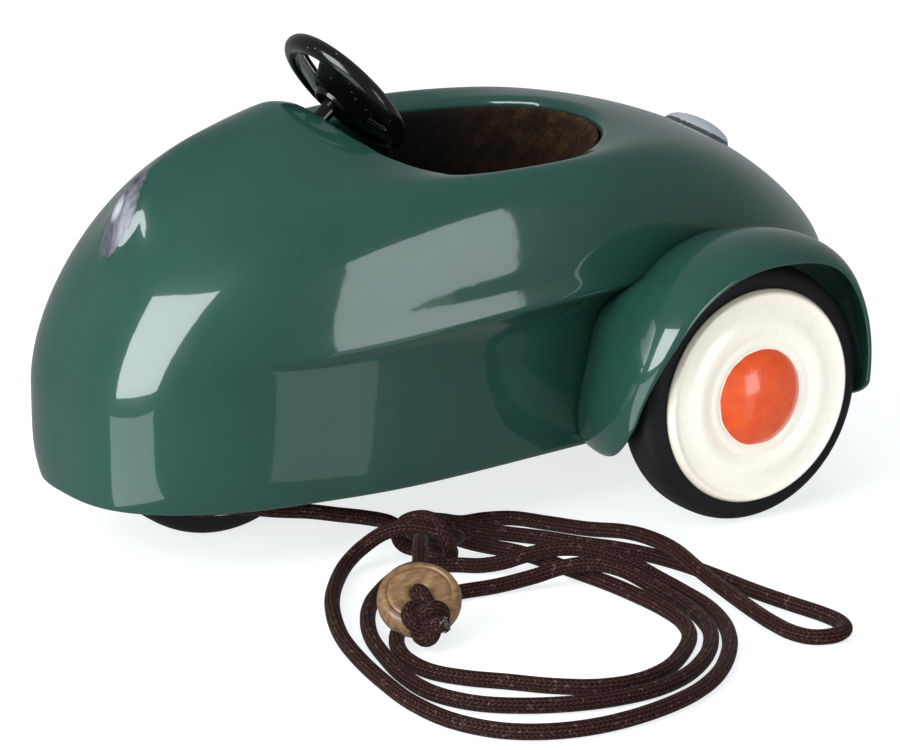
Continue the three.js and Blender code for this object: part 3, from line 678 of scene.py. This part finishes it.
def make_fender(name, mirror):
    arcs, strips = 110, 36
    skin = [[fender_point(i / arcs, j / strips) for j in range(strips + 1)] for i in range(arcs + 1)]
    walls = []
    for i, row in enumerate(skin):
        before, after = skin[max(i - 1, 0)], skin[min(i + 1, arcs)]
        inner, edge = [], []
        for j, p in enumerate(row):
            over = row[min(j + 1, strips)] - row[max(j - 1, 0)]
            normal = over.cross(after[j] - before[j]).normalized()
            q = p + normal * FENDER_SHEET
            q.x = max(q.x, shell_side(q.y, max(q.z, SILL_Z + 0.3)) + SEAM_GAP)
            inner.append(q)
            if j == strips:
                out = over.normalized()
                for k in (1, 2, 3):
                    a = pi * k / 4
                    edge.append(p + normal * FENDER_SHEET / 2 * (1 - cos(a))
                                + out * FENDER_SHEET / 2 * sin(a))
        walls.append(row + edge + inner[::-1])
    rows, columns = len(walls), len(walls[0])
    faces = grid_faces(rows, columns, False, True)
    for base in (0, (rows - 1) * columns):
        for j in range(strips):
            faces.append((base + j, base + j + 1, base + columns - 2 - j, base + columns - 1 - j))
        faces.append(tuple(base + strips + k for k in range(5)))
    sign = -1 if mirror else 1
    points = [(sign * p.x, p.y, p.z) for wall in walls for p in wall]
    return outward(new_object(name, points, faces))


fenders = [make_fender("mudguard_left", False), make_fender("mudguard_right", True)]

# ---- wheels ----


def tyre_profile():
    profile = [(TYRE_HOLE_R, -TYRE_W / 2), (TYRE_WALL_R, -TYRE_W / 2)]
    for k in range(41):
        a = -pi / 2 + pi * k / 40
        side, crown = sin(a), cos(a)
        x = TYRE_W / 2 * copysign(abs(side) ** 0.6, side)
        profile.append((TYRE_SHOULDER_R + (WHEEL_R - TYRE_SHOULDER_R) * max(crown, 0) ** 0.6, x))
    return profile + [(TYRE_WALL_R, TYRE_W / 2), (TYRE_HOLE_R, TYRE_W / 2)]


def disc_profile():
    """Cream disc: a dome at the middle, a raised ring round it, and a rolled edge."""
    face = []
    for k in range(90):
        r = DISC_R * k / 89
        dome = 3.6 * max(1 - (r / 11.7) ** 2.2, 0) ** 0.8
        ring = 0.75 * exp(-(((r - 17.6) / 2.6) ** 2))
        step = 0.25 * smooth_step(11.9, 12.6, r) - 0.25 * smooth_step(13.2, 14.6, r)
        rolled = 0.55 * exp(-(((r - 25) / 0.8) ** 2))
        edge = 1.1 * smooth_step(25.5, DISC_R, r)
        face.append((r, DISC_BACK + 1 + dome + ring + step + rolled - edge))
    back = [(r, x - 0.9) for r, x in face if r < 25]
    return face + [(26.1, DISC_BACK)] + back[::-1]


def make_wheels():
    tyres, discs = [], []
    for side, sign in (("left", 1), ("right", -1)):
        at = (sign * REAR_WHEEL_X, REAR_AXLE_Y, WHEEL_R)
        tyres.append((turned(f"tyre_{side}", tyre_profile(), 160, at), f"rear_tyre_{side}"))
        discs.append((turned(f"disc_{side}", disc_profile(), 160, at, sign < 0), f"rear_disc_{side}"))
    front = turned("tyre_front", tyre_profile(), 160, (0, FRONT_AXLE_Y, WHEEL_R))
    return tyres, discs, front


tyres, discs, front_tyre = make_wheels()

# ---- steering wheel ----


def make_steering_wheel():
    """Ring, three broad dished spokes and hub, melted into one casting. +Z is the wheel's face."""
    steps = 96
    ring = []
    for k in range(steps):
        a = 2 * pi * k / steps
        ring.append((STEER_R * cos(a), STEER_R * sin(a), 0))
    parts = [tube("ring", np.array(ring), STEER_TUBE + 0.1, 20, True)]
    for k in range(3):
        a = pi / 2 + 2 * pi * k / 3
        out, side = Vector((cos(a), sin(a), 0)), Vector((-sin(a), cos(a), 0))
        points = []
        for i in range(SPOKE_ROWS):
            t = i / (SPOKE_ROWS - 1)
            r = mix(2, STEER_R, t)
            half = mix(SPOKE_ROOT, SPOKE_TIP, t)
            z = -SPOKE_DISH * cos(t * pi / 2)
            for u, v in SPOKE_SECTION:
                across = half * u
                reach = sqrt(max(r * r - across * across, 0.04))
                points.append(out * reach + side * across + Vector((0, 0, z + v)))
        count = len(SPOKE_SECTION)
        faces = grid_faces(SPOKE_ROWS, count, False, True)
        last = (SPOKE_ROWS - 1) * count
        faces += [tuple(range(count)), tuple(range(last, last + count))]
        parts.append(outward(new_object(f"spoke_{k}", points, faces)))
    hub = turned("hub", [(0, -5.4), (4.8, -5.4), (5.2, -4.8), (4.8, -1.9), (3.9, -0.9), (0, -0.6)], 48)
    hub.data.transform(Matrix.Rotation(-pi / 2, 4, "Y"))
    parts.append(hub)
    wheel = joined("steering_ring", parts)
    remesh(wheel, 0.32)
    soften = wheel.modifiers.new("soften", "SMOOTH")
    soften.iterations = 6
    soften.factor = 0.5
    apply_modifiers(wheel)
    shade_smooth(wheel.data)
    wheel.data.transform(
        Matrix.Translation(STEER_HUB * MM) @ Matrix.Rotation(-STEER_TILT, 4, "X"))
    return wheel


steering_ring = make_steering_wheel()

# ---- plush ----

FLOOR_OF_SEAT = 18.0
LINING_FROM = 8
LINING_GAP = 0.4
LINING_EDGE = 0.6
LINING_PILLOW = 2.0
LINING_TAPER = 0.14
PILE_OUT = 0.13
PILE_UP = 0.1
CUSHION_ACROSS = 21
CUSHION_ALONG = 23
CUSHION_Y = 1
CUSHION_THICK = 8
CUSHION_LIFT = 1
CUSHION_SWELL = 2.2
CLOTH_FRAMES = 20


def make_lining():
    """A padded plush panel round the rear of the cockpit."""
    steps, levels = 170, 90
    points = []
    noise = RNG.normal(0, 1, (2, steps + 1, levels + 1))
    for face in (0, 1):
        for i in range(steps + 1):
            u = i / steps
            angle = radians(mix(LINING_FROM, 180 - LINING_FROM, u))
            top = COCKPIT_Z + 2.2 * sin(angle) ** 2 - 2.2
            for j in range(levels + 1):
                t = j / levels
                shrink = 1 - LINING_TAPER * (1 - t) ** 2
                pillow = (4 * u * (1 - u)) ** 0.25 * (4 * t * (1 - t)) ** 0.25
                inset = LINING_GAP
                if face:
                    inset += LINING_EDGE + LINING_PILLOW * pillow + PILE_OUT * noise[face, i, j]
                long_way, cross_way = COCKPIT_LONG - LIP_R - inset, COCKPIT_HALF - LIP_R - inset
                points.append((
                    cross_way * shrink * cos(angle),
                    MIDDLE_Y + long_way * shrink * sin(angle),
                    mix(FLOOR_OF_SEAT, top, t) + (PILE_UP * noise[0, i, j] if face else 0)))
    size = (steps + 1) * (levels + 1)
    front = grid_faces(steps + 1, levels + 1)
    faces = front + [tuple(k + size for k in reversed(f)) for f in front]
    rim = [i * (levels + 1) for i in range(steps + 1)]
    rim += [steps * (levels + 1) + j for j in range(1, levels + 1)]
    rim += [i * (levels + 1) + levels for i in range(steps - 1, -1, -1)]
    rim += [j for j in range(levels - 1, 0, -1)]
    for a, b in zip(rim, rim[1:] + rim[:1]):
        faces.append((a, b, b + size, a + size))
    obj = outward(new_object("plush_lining", points, faces))
    # painted shade: the pile is darkened towards the cockpit's front and towards its floor, where little
    # light falls in
    painted_shade = obj.data.attributes.new("painted_shade", "FLOAT", "POINT")
    wear_and_shade = []
    for x, y, z in points:
        forward = 1 - smooth_step(8, 56, y)
        wear_and_shade.append(max(forward, 0.85 * (1 - smooth_step(56, 88, z))))
    painted_shade.data.foreach_set("value", [float(w) for w in wear_and_shade])
    return obj


def make_cushion():
    """A round cushion, inflated as cloth between its floor and its crown."""
    rings, sides = 14, 72
    low = FLOOR_OF_SEAT + CUSHION_LIFT
    points, faces = [(0, 0, low)], []
    for i in range(1, rings + 1):
        t = i / rings
        for k in range(sides):
            a = 2 * pi * k / sides
            y = CUSHION_Y + CUSHION_ALONG * t * sin(a)
            points.append((CUSHION_ACROSS * t * cos(a), y, low))
    top = len(points)
    points += [(x, y, z + CUSHION_THICK) for x, y, z in points]
    for base in (0, top):
        for k in range(sides):
            m = (k + 1) % sides
            faces.append((base, base + 1 + k, base + 1 + m))
            for i in range(rings - 1):
                a, b = base + 1 + i * sides, base + 1 + (i + 1) * sides
                faces.append((a + k, b + k, b + m, a + m))
    edge = 1 + (rings - 1) * sides
    for k in range(sides):
        m = (k + 1) % sides
        faces.append((edge + k, edge + m, top + edge + m, top + edge + k))
    obj = outward(new_object("seat_pad", points, faces))
    remesh(obj, 2.2)
    apply_modifiers(obj)
    inflate(obj, CUSHION_SWELL)
    round_off = obj.modifiers.new("round", "SUBSURF")
    round_off.levels = round_off.render_levels = 2
    apply_modifiers(obj)
    co = np.zeros(len(obj.data.vertices) * 3, np.float32)
    obj.data.vertices.foreach_get("co", co)
    co = co.reshape(-1, 3)
    co += RNG.normal(0, 0.07 * MM, co.shape).astype(np.float32)
    co[:, 2] = np.maximum(co[:, 2], (FLOOR_OF_SEAT + 0.1) * MM)
    obj.data.vertices.foreach_set("co", co.ravel())
    shade_smooth(obj.data)
    return obj


def inflate(obj, cap):
    """Cloth under pressure; no point moves more than cap millimetres."""
    rest = np.array([v.co for v in obj.data.vertices], float)
    cloth = obj.modifiers.new("cloth", "CLOTH")
    cloth.settings.use_pressure = True
    cloth.settings.uniform_pressure_force = 4
    cloth.settings.effector_weights.gravity = 0
    cloth.point_cache.frame_end = CLOTH_FRAMES
    scene = bpy.context.scene
    for step in range(1, CLOTH_FRAMES + 1):
        scene.frame_set(step)
    graph = bpy.context.evaluated_depsgraph_get()
    mesh = bpy.data.meshes.new_from_object(obj.evaluated_get(graph))
    moved = np.array([v.co for v in mesh.vertices], float) - rest
    far = norm(moved, axis=1)[:, None]
    moved *= np.minimum(1, cap * MM / np.maximum(far, 1e-9))
    obj.modifiers.clear()
    obj.data = mesh
    mesh.vertices.foreach_set("co", (rest + moved).ravel())
    scene.frame_set(1)


lining = make_lining()
cushion = make_cushion()

# ---- finishes ----


def linear(red, green, blue):
    return tuple(((c / 255 + 0.055) / 1.055) ** 2.4 for c in (red, green, blue)) + (1,)


class Finish:
    """A procedural material, built node by node. Its pattern lies in the object's own space."""

    def __init__(self, name, **values):
        self.material = bpy.data.materials.new(name)
        self.material.use_nodes = True
        self.nodes = self.material.node_tree.nodes
        self.links = self.material.node_tree.links
        self.shader = self.nodes["Principled BSDF"]
        self.output = self.nodes["Material Output"]
        self.place = self.node("TexCoord").outputs["Object"]
        self.set(**values)

    def node(self, kind):
        return self.nodes.new("ShaderNode" + kind)

    def set(self, shader=None, **values):
        for key, value in values.items():
            self.plug(value, (shader or self.shader).inputs[key.replace("_", " ")])

    def plug(self, value, socket):
        if isinstance(value, bpy.types.NodeSocket):
            self.links.new(value, socket)
        else:
            socket.default_value = value

    def maths(self, operation, a, b=0.0, c=0.0, clamp=False):
        node = self.node("Math")
        node.operation = operation
        node.use_clamp = clamp
        for socket, value in zip(node.inputs, (a, b, c)):
            self.plug(value, socket)
        return node.outputs[0]

    def times(self, a, b, clamp=False):
        return self.maths("MULTIPLY", a, b, clamp=clamp)

    def plus(self, a, b):
        return self.maths("ADD", a, b)

    def minus(self, a, b, clamp=False):
        return self.maths("SUBTRACT", a, b, clamp=clamp)

    def stretched(self, scale, turn=(0, 0, 0)):
        node = self.node("Mapping")
        self.plug(self.place, node.inputs["Vector"])
        node.inputs["Scale"].default_value = scale
        node.inputs["Rotation"].default_value = turn
        return node.outputs[0]

    def noise(self, size, detail=2.0, where=None, rough=0.5):
        """Noise whose blobs are about size millimetres across."""
        node = self.node("TexNoise")
        self.plug(where or self.place, node.inputs["Vector"])
        self.set(node, Scale=1 / (size * MM), Detail=detail, Roughness=rough)
        return node.outputs["Fac"]

    def specks(self, size, share):
        """Round specks, size millimetres apart, that cover a small share of the surface."""
        node = self.node("TexVoronoi")
        self.plug(self.place, node.inputs["Vector"])
        self.set(node, Scale=1 / (size * MM))
        return self.maths("LESS_THAN", node.outputs["Distance"], share)

    def ramp(self, value, *stops):
        node = self.node("ValToRGB")
        self.plug(value, node.inputs["Fac"])
        row = node.color_ramp.elements
        while len(row) < len(stops):
            row.new(0.5)
        for element, (at, colour) in zip(row, stops):
            element.position = at
            element.color = colour if hasattr(colour, "__len__") else (colour, colour, colour, 1)
        return node.outputs["Color"]

    def between(self, value, low, high):
        """Maps noise, which is mostly from 0.3 to 0.7, to the range from low to high."""
        node = self.node("MapRange")
        self.plug(value, node.inputs["Value"])
        self.set(node, From_Min=0.3, From_Max=0.7, To_Min=low, To_Max=high)
        return node.outputs["Result"]

    def varied(self, size, detail, low, high):
        return self.between(self.noise(size, detail), low, high)

    def blend(self, value, a, b):
        node = self.node("Mix")
        node.data_type = "RGBA"
        self.plug(value, node.inputs["Factor"])
        self.plug(a, node.inputs[6])
        self.plug(b, node.inputs[7])
        return node.outputs[2]

    def bump(self, height, depth, under=None):
        """A bump of depth millimetres for a height of 0 to 1."""
        node = self.node("Bump")
        self.plug(height, node.inputs["Height"])
        self.set(node, Distance=depth * MM, Strength=1.0)
        if under:
            self.plug(under, node.inputs["Normal"])
        return node.outputs["Normal"]

    def attribute(self, name):
        node = self.node("Attribute")
        node.attribute_name = name
        return node.outputs["Fac"]

    def mixed(self, mask, other):
        """Shows the other shader where the mask is 1."""
        node = self.node("MixShader")
        self.plug(mask, node.inputs[0])
        self.plug(self.shader.outputs[0], node.inputs[1])
        self.plug(other.outputs[0], node.inputs[2])
        self.plug(node.outputs[0], self.output.inputs["Surface"])


ENAMEL_DEEP = linear(25, 58, 50)
ENAMEL_PALE = linear(29, 64, 56)


def green_enamel(name, silvered=False):
    """Thick stove enamel with a faint orange peel; the raised badge shapes are hand silvered."""
    f = Finish(name, Coat_Weight=1.0, Coat_Roughness=0.045, IOR=1.5, Specular_IOR_Level=0.15)
    f.set(Base_Color=f.blend(f.varied(38, 3, 0, 1), ENAMEL_DEEP, ENAMEL_PALE))
    f.set(Roughness=f.varied(11, 4, 0.2, 0.3))
    peel = f.bump(f.noise(1.6, 2), 0.0016, f.bump(f.noise(7, 2), 0.02))
    f.set(Normal=peel, Coat_Normal=peel)
    if silvered:
        silver = f.node("BsdfPrincipled")
        along = f.stretched((1, 0.25, 0.12), (radians(-28), 0, 0))
        streaks = f.noise(0.5, 5, along, 0.65)
        tarnish = f.noise(5, 3, along)
        shade = f.plus(f.times(tarnish, 0.4), f.times(streaks, 0.6))
        colour = f.ramp(f.between(shade, 0, 1), (0.1, linear(58, 56, 64)),
                        (0.55, linear(100, 100, 108)), (1.0, linear(150, 152, 160)))
        on_tail = f.minus(f.attribute("silver"), 0.9, clamp=True)
        colour = f.blend(f.times(on_tail, 8, clamp=True), colour, linear(214, 217, 224))
        f.set(silver, Metallic=0.7, Base_Color=colour, Roughness=f.between(streaks, 0.36, 0.6),
              Normal=f.bump(streaks, 0.12))
        ragged = f.varied(1.6, 4, -0.09, 0.09)
        mask = f.plus(f.attribute("silver"), ragged)
        f.mixed(f.times(f.minus(mask, 0.1), 14, clamp=True), silver)
    return f.material


def dark_paint(name):
    f = Finish(name, IOR=1.5, Coat_Weight=0.4, Coat_Roughness=0.2)
    wear_and_shade = f.specks(2.6, 0.13)
    f.set(Base_Color=f.blend(wear_and_shade, linear(26, 27, 29), linear(64, 62, 60)))
    f.set(Roughness=f.varied(4, 4, 0.3, 0.55))
    f.set(Normal=f.bump(f.noise(0.9, 3), 0.02))
    return f.material


def plain_steel(name):
    f = Finish(name, Metallic=1.0)
    grain = f.noise(0.4, 4, f.stretched((0.15, 1, 1)), 0.6)
    stain = f.varied(7, 4, 0, 1)
    f.set(Base_Color=f.blend(stain, linear(168, 170, 172), linear(132, 128, 122)))
    f.set(Roughness=f.between(grain, 0.25, 0.45), Normal=f.bump(grain, 0.02))
    return f.material


def tyre_rubber(name):
    f = Finish(name, IOR=1.4, Specular_IOR_Level=0.3)
    dust = f.varied(9, 5, 0, 1)
    f.set(Base_Color=f.blend(dust, linear(13, 13, 15), linear(19, 19, 21)))
    f.set(Roughness=f.varied(2.4, 4, 0.5, 0.68))
    fine = f.bump(f.noise(0.28, 2), 0.012)
    f.set(Normal=f.bump(f.noise(2.2, 3), 0.035, fine))
    return f.material


HUB_R = 11.8


def wheel_enamel(name, axle_y):
    """Cream enamel with a hand-painted orange hub about an axle parallel to X."""
    f = Finish(name, IOR=1.5, Coat_Weight=0.8, Coat_Roughness=0.09)
    split = f.node("SeparateXYZ")
    f.plug(f.place, split.inputs[0])
    y = f.minus(split.outputs["Y"], axle_y * MM)
    z = f.minus(split.outputs["Z"], WHEEL_R * MM)
    square = f.plus(f.times(y, y), f.times(z, z))
    radius = f.maths("DIVIDE", f.maths("SQRT", square), MM)
    edge = f.plus(radius, f.varied(5, 2, -0.12, 0.12))
    hub = f.times(f.minus(HUB_R, edge), 6, clamp=True)
    cream = f.blend(f.varied(16, 4, 0, 1), linear(233, 224, 210), linear(239, 231, 219))
    # the cream is painted darker towards the disc's edge
    towards_edge = f.times(f.minus(edge, 24.6), 0.5, clamp=True)
    cream = f.blend(towards_edge, cream, linear(202, 192, 172))
    orange = f.blend(f.varied(3, 5, 0, 1), linear(204, 62, 4), linear(216, 78, 8))
    f.set(Base_Color=f.blend(hub, cream, orange))
    f.set(Roughness=f.varied(5, 4, 0.22, 0.4))
    strokes = f.noise(1.3, 4)
    wave = f.bump(f.noise(6, 3), 0.04)
    uneven = f.times(strokes, f.plus(f.times(hub, 0.9), 0.1))
    f.set(Normal=f.bump(uneven, 0.1, wave), Coat_Normal=wave)
    return f.material


def gloss_black(name):
    """Black lacquer with a little dust."""
    f = Finish(name, IOR=1.45, Specular_IOR_Level=0.2, Coat_Weight=0.6, Coat_Roughness=0.08)
    dust = f.times(f.specks(1.5, 0.12), f.maths("GREATER_THAN", f.noise(6, 2), 0.53))
    f.set(Base_Color=f.blend(dust, linear(6, 5, 7), linear(104, 104, 108)))
    f.set(Roughness=f.varied(3, 3, 0.14, 0.32))
    f.set(Normal=f.bump(f.noise(1.4, 3), 0.018))
    return f.material


def plush(name):
    """Brown pile, with painted shade: near black and without sheen where the lining's shade attribute is
    high.
    """
    f = Finish(name, Roughness=0.95, IOR=1.3, Sheen_Roughness=0.4)
    pile = f.noise(0.5, 4, rough=0.7)
    tufts = f.noise(3.2, 4)
    shade = f.plus(f.times(pile, 0.6), f.times(tufts, 0.4))
    # painted shade: where the lining's attribute is high, the pile is blended to near black and loses its
    # sheen
    unshaded = f.minus(1.0, f.attribute("painted_shade"))
    pile_colour = f.ramp(shade, (0.38, linear(20, 11, 5)), (0.52, linear(54, 33, 16)),
                   (0.66, linear(104, 70, 34)))
    f.set(Base_Color=f.blend(unshaded, linear(7, 4, 3), pile_colour))
    f.set(Sheen_Tint=linear(196, 150, 92), Sheen_Weight=f.times(unshaded, 0.12))
    f.set(Normal=f.bump(pile, 0.35, f.bump(tufts, 0.3)))
    return f.material


BRAID_PITCH = 1.15
BRAID_COLUMNS = 6


def waxed_cord(name):
    """A round braid: columns of V-shaped strands, waxed. Painted shade darkens the grooves between
    strands, and painted highlights, pale glints of the wax, lie on some of them.
    """
    f = Finish(name, IOR=1.4, Specular_IOR_Level=0.14)
    uv = f.node("UVMap")
    uv.uv_map = "braid"
    split = f.node("SeparateXYZ")
    f.plug(uv.outputs[0], split.inputs[0])
    column = f.times(split.outputs["Y"], BRAID_COLUMNS)
    fold = f.maths("PINGPONG", column, 0.5)
    lean = f.times(fold, 2.0)
    phase = f.plus(f.maths("DIVIDE", split.outputs["X"], BRAID_PITCH), lean)
    strand = f.maths("ABSOLUTE", f.maths("SINE", f.times(phase, pi)))
    edge = f.times(f.maths("PINGPONG", fold, 0.25), 10, clamp=True)
    height = f.times(f.maths("POWER", strand, 0.6), edge)
    fibre = f.noise(0.22, 3)
    # painted highlight: pale glints of the wax on some strands' crests
    wax = f.times(f.maths("GREATER_THAN", f.noise(1.3, 4), 0.62), height)
    # painted shade: the grooves between strands are near black and the crests lighter
    brown = f.ramp(height, (0.15, linear(16, 7, 6)), (0.75, linear(44, 22, 19)),
                   (1.0, linear(60, 33, 28)))
    f.set(Base_Color=f.blend(f.times(wax, 0.2), brown, linear(150, 128, 120)))
    f.set(Roughness=f.varied(0.9, 3, 0.3, 0.6))
    f.set(Normal=f.bump(height, 0.2, f.bump(fibre, 0.08)))
    return f.material


def plain_cord(name):
    """The CAD model's cord solids, should one of them show."""
    f = Finish(name, IOR=1.45, Roughness=0.5)
    twist = f.noise(0.8, 4)
    f.set(Base_Color=f.blend(twist, linear(30, 20, 17), linear(74, 52, 45)), Normal=f.bump(twist, 0.2))
    return f.material


def bead_wood(name):
    f = Finish(name, IOR=1.45, Coat_Weight=0.35, Coat_Roughness=0.25)
    grain = f.noise(1.1, 5, f.stretched((1, 0.22, 1), (0.4, 0.2, 0.9)), 0.65)
    dark = f.noise(3.2, 4)
    wood = f.ramp(grain, (0.3, linear(78, 56, 35)), (0.5, linear(117, 86, 55)),
                  (0.72, linear(148, 114, 76)))
    f.set(Base_Color=f.blend(f.between(dark, 0, 0.5), wood, linear(96, 62, 32)))
    f.set(Roughness=f.between(grain, 0.35, 0.6), Normal=f.bump(grain, 0.05))
    return f.material


def cut_fibre(name):
    """The cord's frayed end, grey with wax."""
    f = Finish(name, Roughness=0.8)
    thread = f.noise(0.3, 4)
    f.set(Base_Color=f.blend(f.between(thread, 0, 1), linear(50, 40, 39), linear(108, 98, 97)))
    f.set(Normal=f.bump(thread, 0.2))
    return f.material


SLOT_FINISH = {
    "green_enamel": green_enamel("green enamel"),
    "black_paint": dark_paint("black paint"),
    "bare_steel": plain_steel("zinc steel"),
    "tyre_rubber": tyre_rubber("tyre rubber"),
    "cream_enamel": wheel_enamel("rear wheel enamel", REAR_AXLE_Y),
    "black_gloss": gloss_black("black lacquer"),
    "brown_plush": plush("brown plush"),
    "waxed_cord": plain_cord("cord solid"),
    "bead_wood": bead_wood("turned wood"),
}
badge_enamel = green_enamel("green enamel and silver", True)
front_enamel = wheel_enamel("front wheel enamel", FRONT_AXLE_Y)
braid = waxed_cord("waxed braid")

for node_name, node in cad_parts.items():
    for material_slot in node.material_slots:
        finish = SLOT_FINISH[material_slot.material.name.split(".")[0]]
        material_slot.material = front_enamel if node_name.startswith("front_disc") else finish

# ---- what each piece is, what it stands for and what it moves with ----


def place(obj, slot, body, *nodes, finish=None):
    obj.data.materials.clear()
    obj.data.materials.append(finish or SLOT_FINISH[slot])
    if nodes:
        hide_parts(*nodes)
    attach(obj, body)


place(shell, "green_enamel", "chassis", "body_shell", finish=badge_enamel)
for side, fender in zip(("left", "right"), fenders):
    place(fender, "green_enamel", "chassis", f"fender_{side}")
for obj, node_name in tyres:
    place(obj, "tyre_rubber", "rear_wheels", node_name)
for obj, node_name in discs:
    place(obj, "cream_enamel", "rear_wheels", node_name)
place(front_tyre, "tyre_rubber", "front_wheel", "front_tyre")
place(steering_ring, "black_gloss", "steering", "steering_wheel")
place(lining, "brown_plush", "chassis", "seat_lining")
place(cushion, "brown_plush", "chassis", "seat_cushion")
for obj, *node_names in (
    (pull_cord, "cord_lead", "cord_coil", "cord_bight", "cord_tail"), (knot_wrap, "cord_knot"),
    (end_knot, "cord_end_knot"), (stop_knot, "cord_stop_knot"),
):
    place(obj, "waxed_cord", "chassis", *node_names, finish=braid)
place(cut_end, "waxed_cord", "chassis", finish=cut_fibre("cut fibres"))
place(bead, "bead_wood", "chassis", "cord_bead")

# neither the cord nor the table shows in the paint
for obj in (pull_cord, knot_wrap, end_knot, bead, cut_end):
    obj.visible_glossy = False

# ---- studio ----


TABLE_HALF = 4000
TABLE_GLOW = 0.78
SCREEN_R = 3900
SCREEN_HIGH = 3900
SCREEN_SIDES = 64
SKY = (0.92, 0.97, 1, 1)
SKY_STRENGTH = 0.3
LAMP_COLOUR = (0.93, 0.98, 1)
LAMP_CENTRE = Vector((0, 0, 50))


def make_floor():
    """A white table that glows by itself, so that shadows on it are faint."""
    corners = [(x * TABLE_HALF, y * TABLE_HALF, 0) for x, y in ((-1, -1), (1, -1), (1, 1), (-1, 1))]
    obj = new_object("floor", corners, [(0, 1, 2, 3)], False)
    f = Finish("studio table", Roughness=0.9, IOR=1.2)
    f.set(Base_Color=f.blend(f.noise(40, 3), (0.3, 0.3, 0.3, 1), (0.32, 0.32, 0.32, 1)))
    f.set(Emission_Color=(0.97, 0.99, 1, 1), Emission_Strength=TABLE_GLOW)
    obj.data.materials.append(f.material)
    obj.visible_glossy = False


def make_backdrop():
    """A white screen all round, far off. It only closes the picture and lights nothing."""
    points = []
    for k in range(SCREEN_SIDES):
        a = 2 * pi * k / SCREEN_SIDES
        points += [(SCREEN_R * cos(a), SCREEN_R * sin(a), z) for z in (-1, SCREEN_HIGH)]
    obj = new_object("backdrop", points, grid_faces(SCREEN_SIDES, 2, True))
    f = Finish("studio screen", Roughness=1, Specular_IOR_Level=0)
    f.set(Base_Color=f.blend(f.noise(90, 2), (0, 0, 0, 1), (0.01, 0.01, 0.01, 1)))
    f.set(Emission_Color=(1, 1, 1, 1), Emission_Strength=1)
    obj.data.materials.append(f.material)
    obj.visible_diffuse = obj.visible_glossy = obj.visible_shadow = False


def window(name, azimuth, elevation, distance, size, power, shines, roll):
    """An area lamp of size = (width, height) in metres, seen from the car at these degrees.
    Azimuth 0 is in front of the nose, and 90 is on the car's left. It shows in the paint if it shines."""
    a, e = radians(azimuth), radians(elevation)
    way = Vector((sin(a) * cos(e), -cos(a) * cos(e), sin(e)))
    data = bpy.data.lights.new(name, "AREA")
    data.shape = "RECTANGLE"
    data.size, data.size_y = size
    data.energy = power
    data.color = LAMP_COLOUR
    lamp = add_object(name, data)
    lamp.location = (LAMP_CENTRE + way * distance) * MM
    turn = way.to_track_quat("Z", "Y") @ Quaternion((0, 0, 1), radians(roll))
    lamp.rotation_euler = turn.to_euler()
    lamp.visible_glossy = shines


def make_world():
    world = bpy.data.worlds.new("studio")
    world.use_nodes = True
    background = world.node_tree.nodes["Background"]
    background.inputs["Color"].default_value = SKY
    background.inputs["Strength"].default_value = SKY_STRENGTH
    bpy.context.scene.world = world


# Two windows make the highlights, two more lamps stand in for their images in the table, and
# the last three only light. Each row is what window() takes.
LAMPS = [
    ("nose_window", 11, 21, 1200, (0.8, 0.88), 23, True, 4),
    ("nose_window_image", 12, -28, 1200, (0.95, 0.8), 6, True, 4),
    ("side_window", 105.5, 3.2, 1200, (0.36, 0.5), 2.3, True, 6),
    ("side_window_image", 104, -20, 1200, (0.26, 0.5), 0.28, True, 0),
    ("overhead", 40, 78, 1300, (1.4, 1.4), 9, False, 0),
    ("behind", 250, 40, 1300, (1.0, 0.8), 5, False, 0),
    ("left_fill", 84, 3, 1300, (1.2, 0.9), 8, False, 0),
]

make_floor()
make_backdrop()
make_world()
for lamp_row in LAMPS:
    window(*lamp_row)
bpy.context.scene.view_settings.view_transform = "Standard"
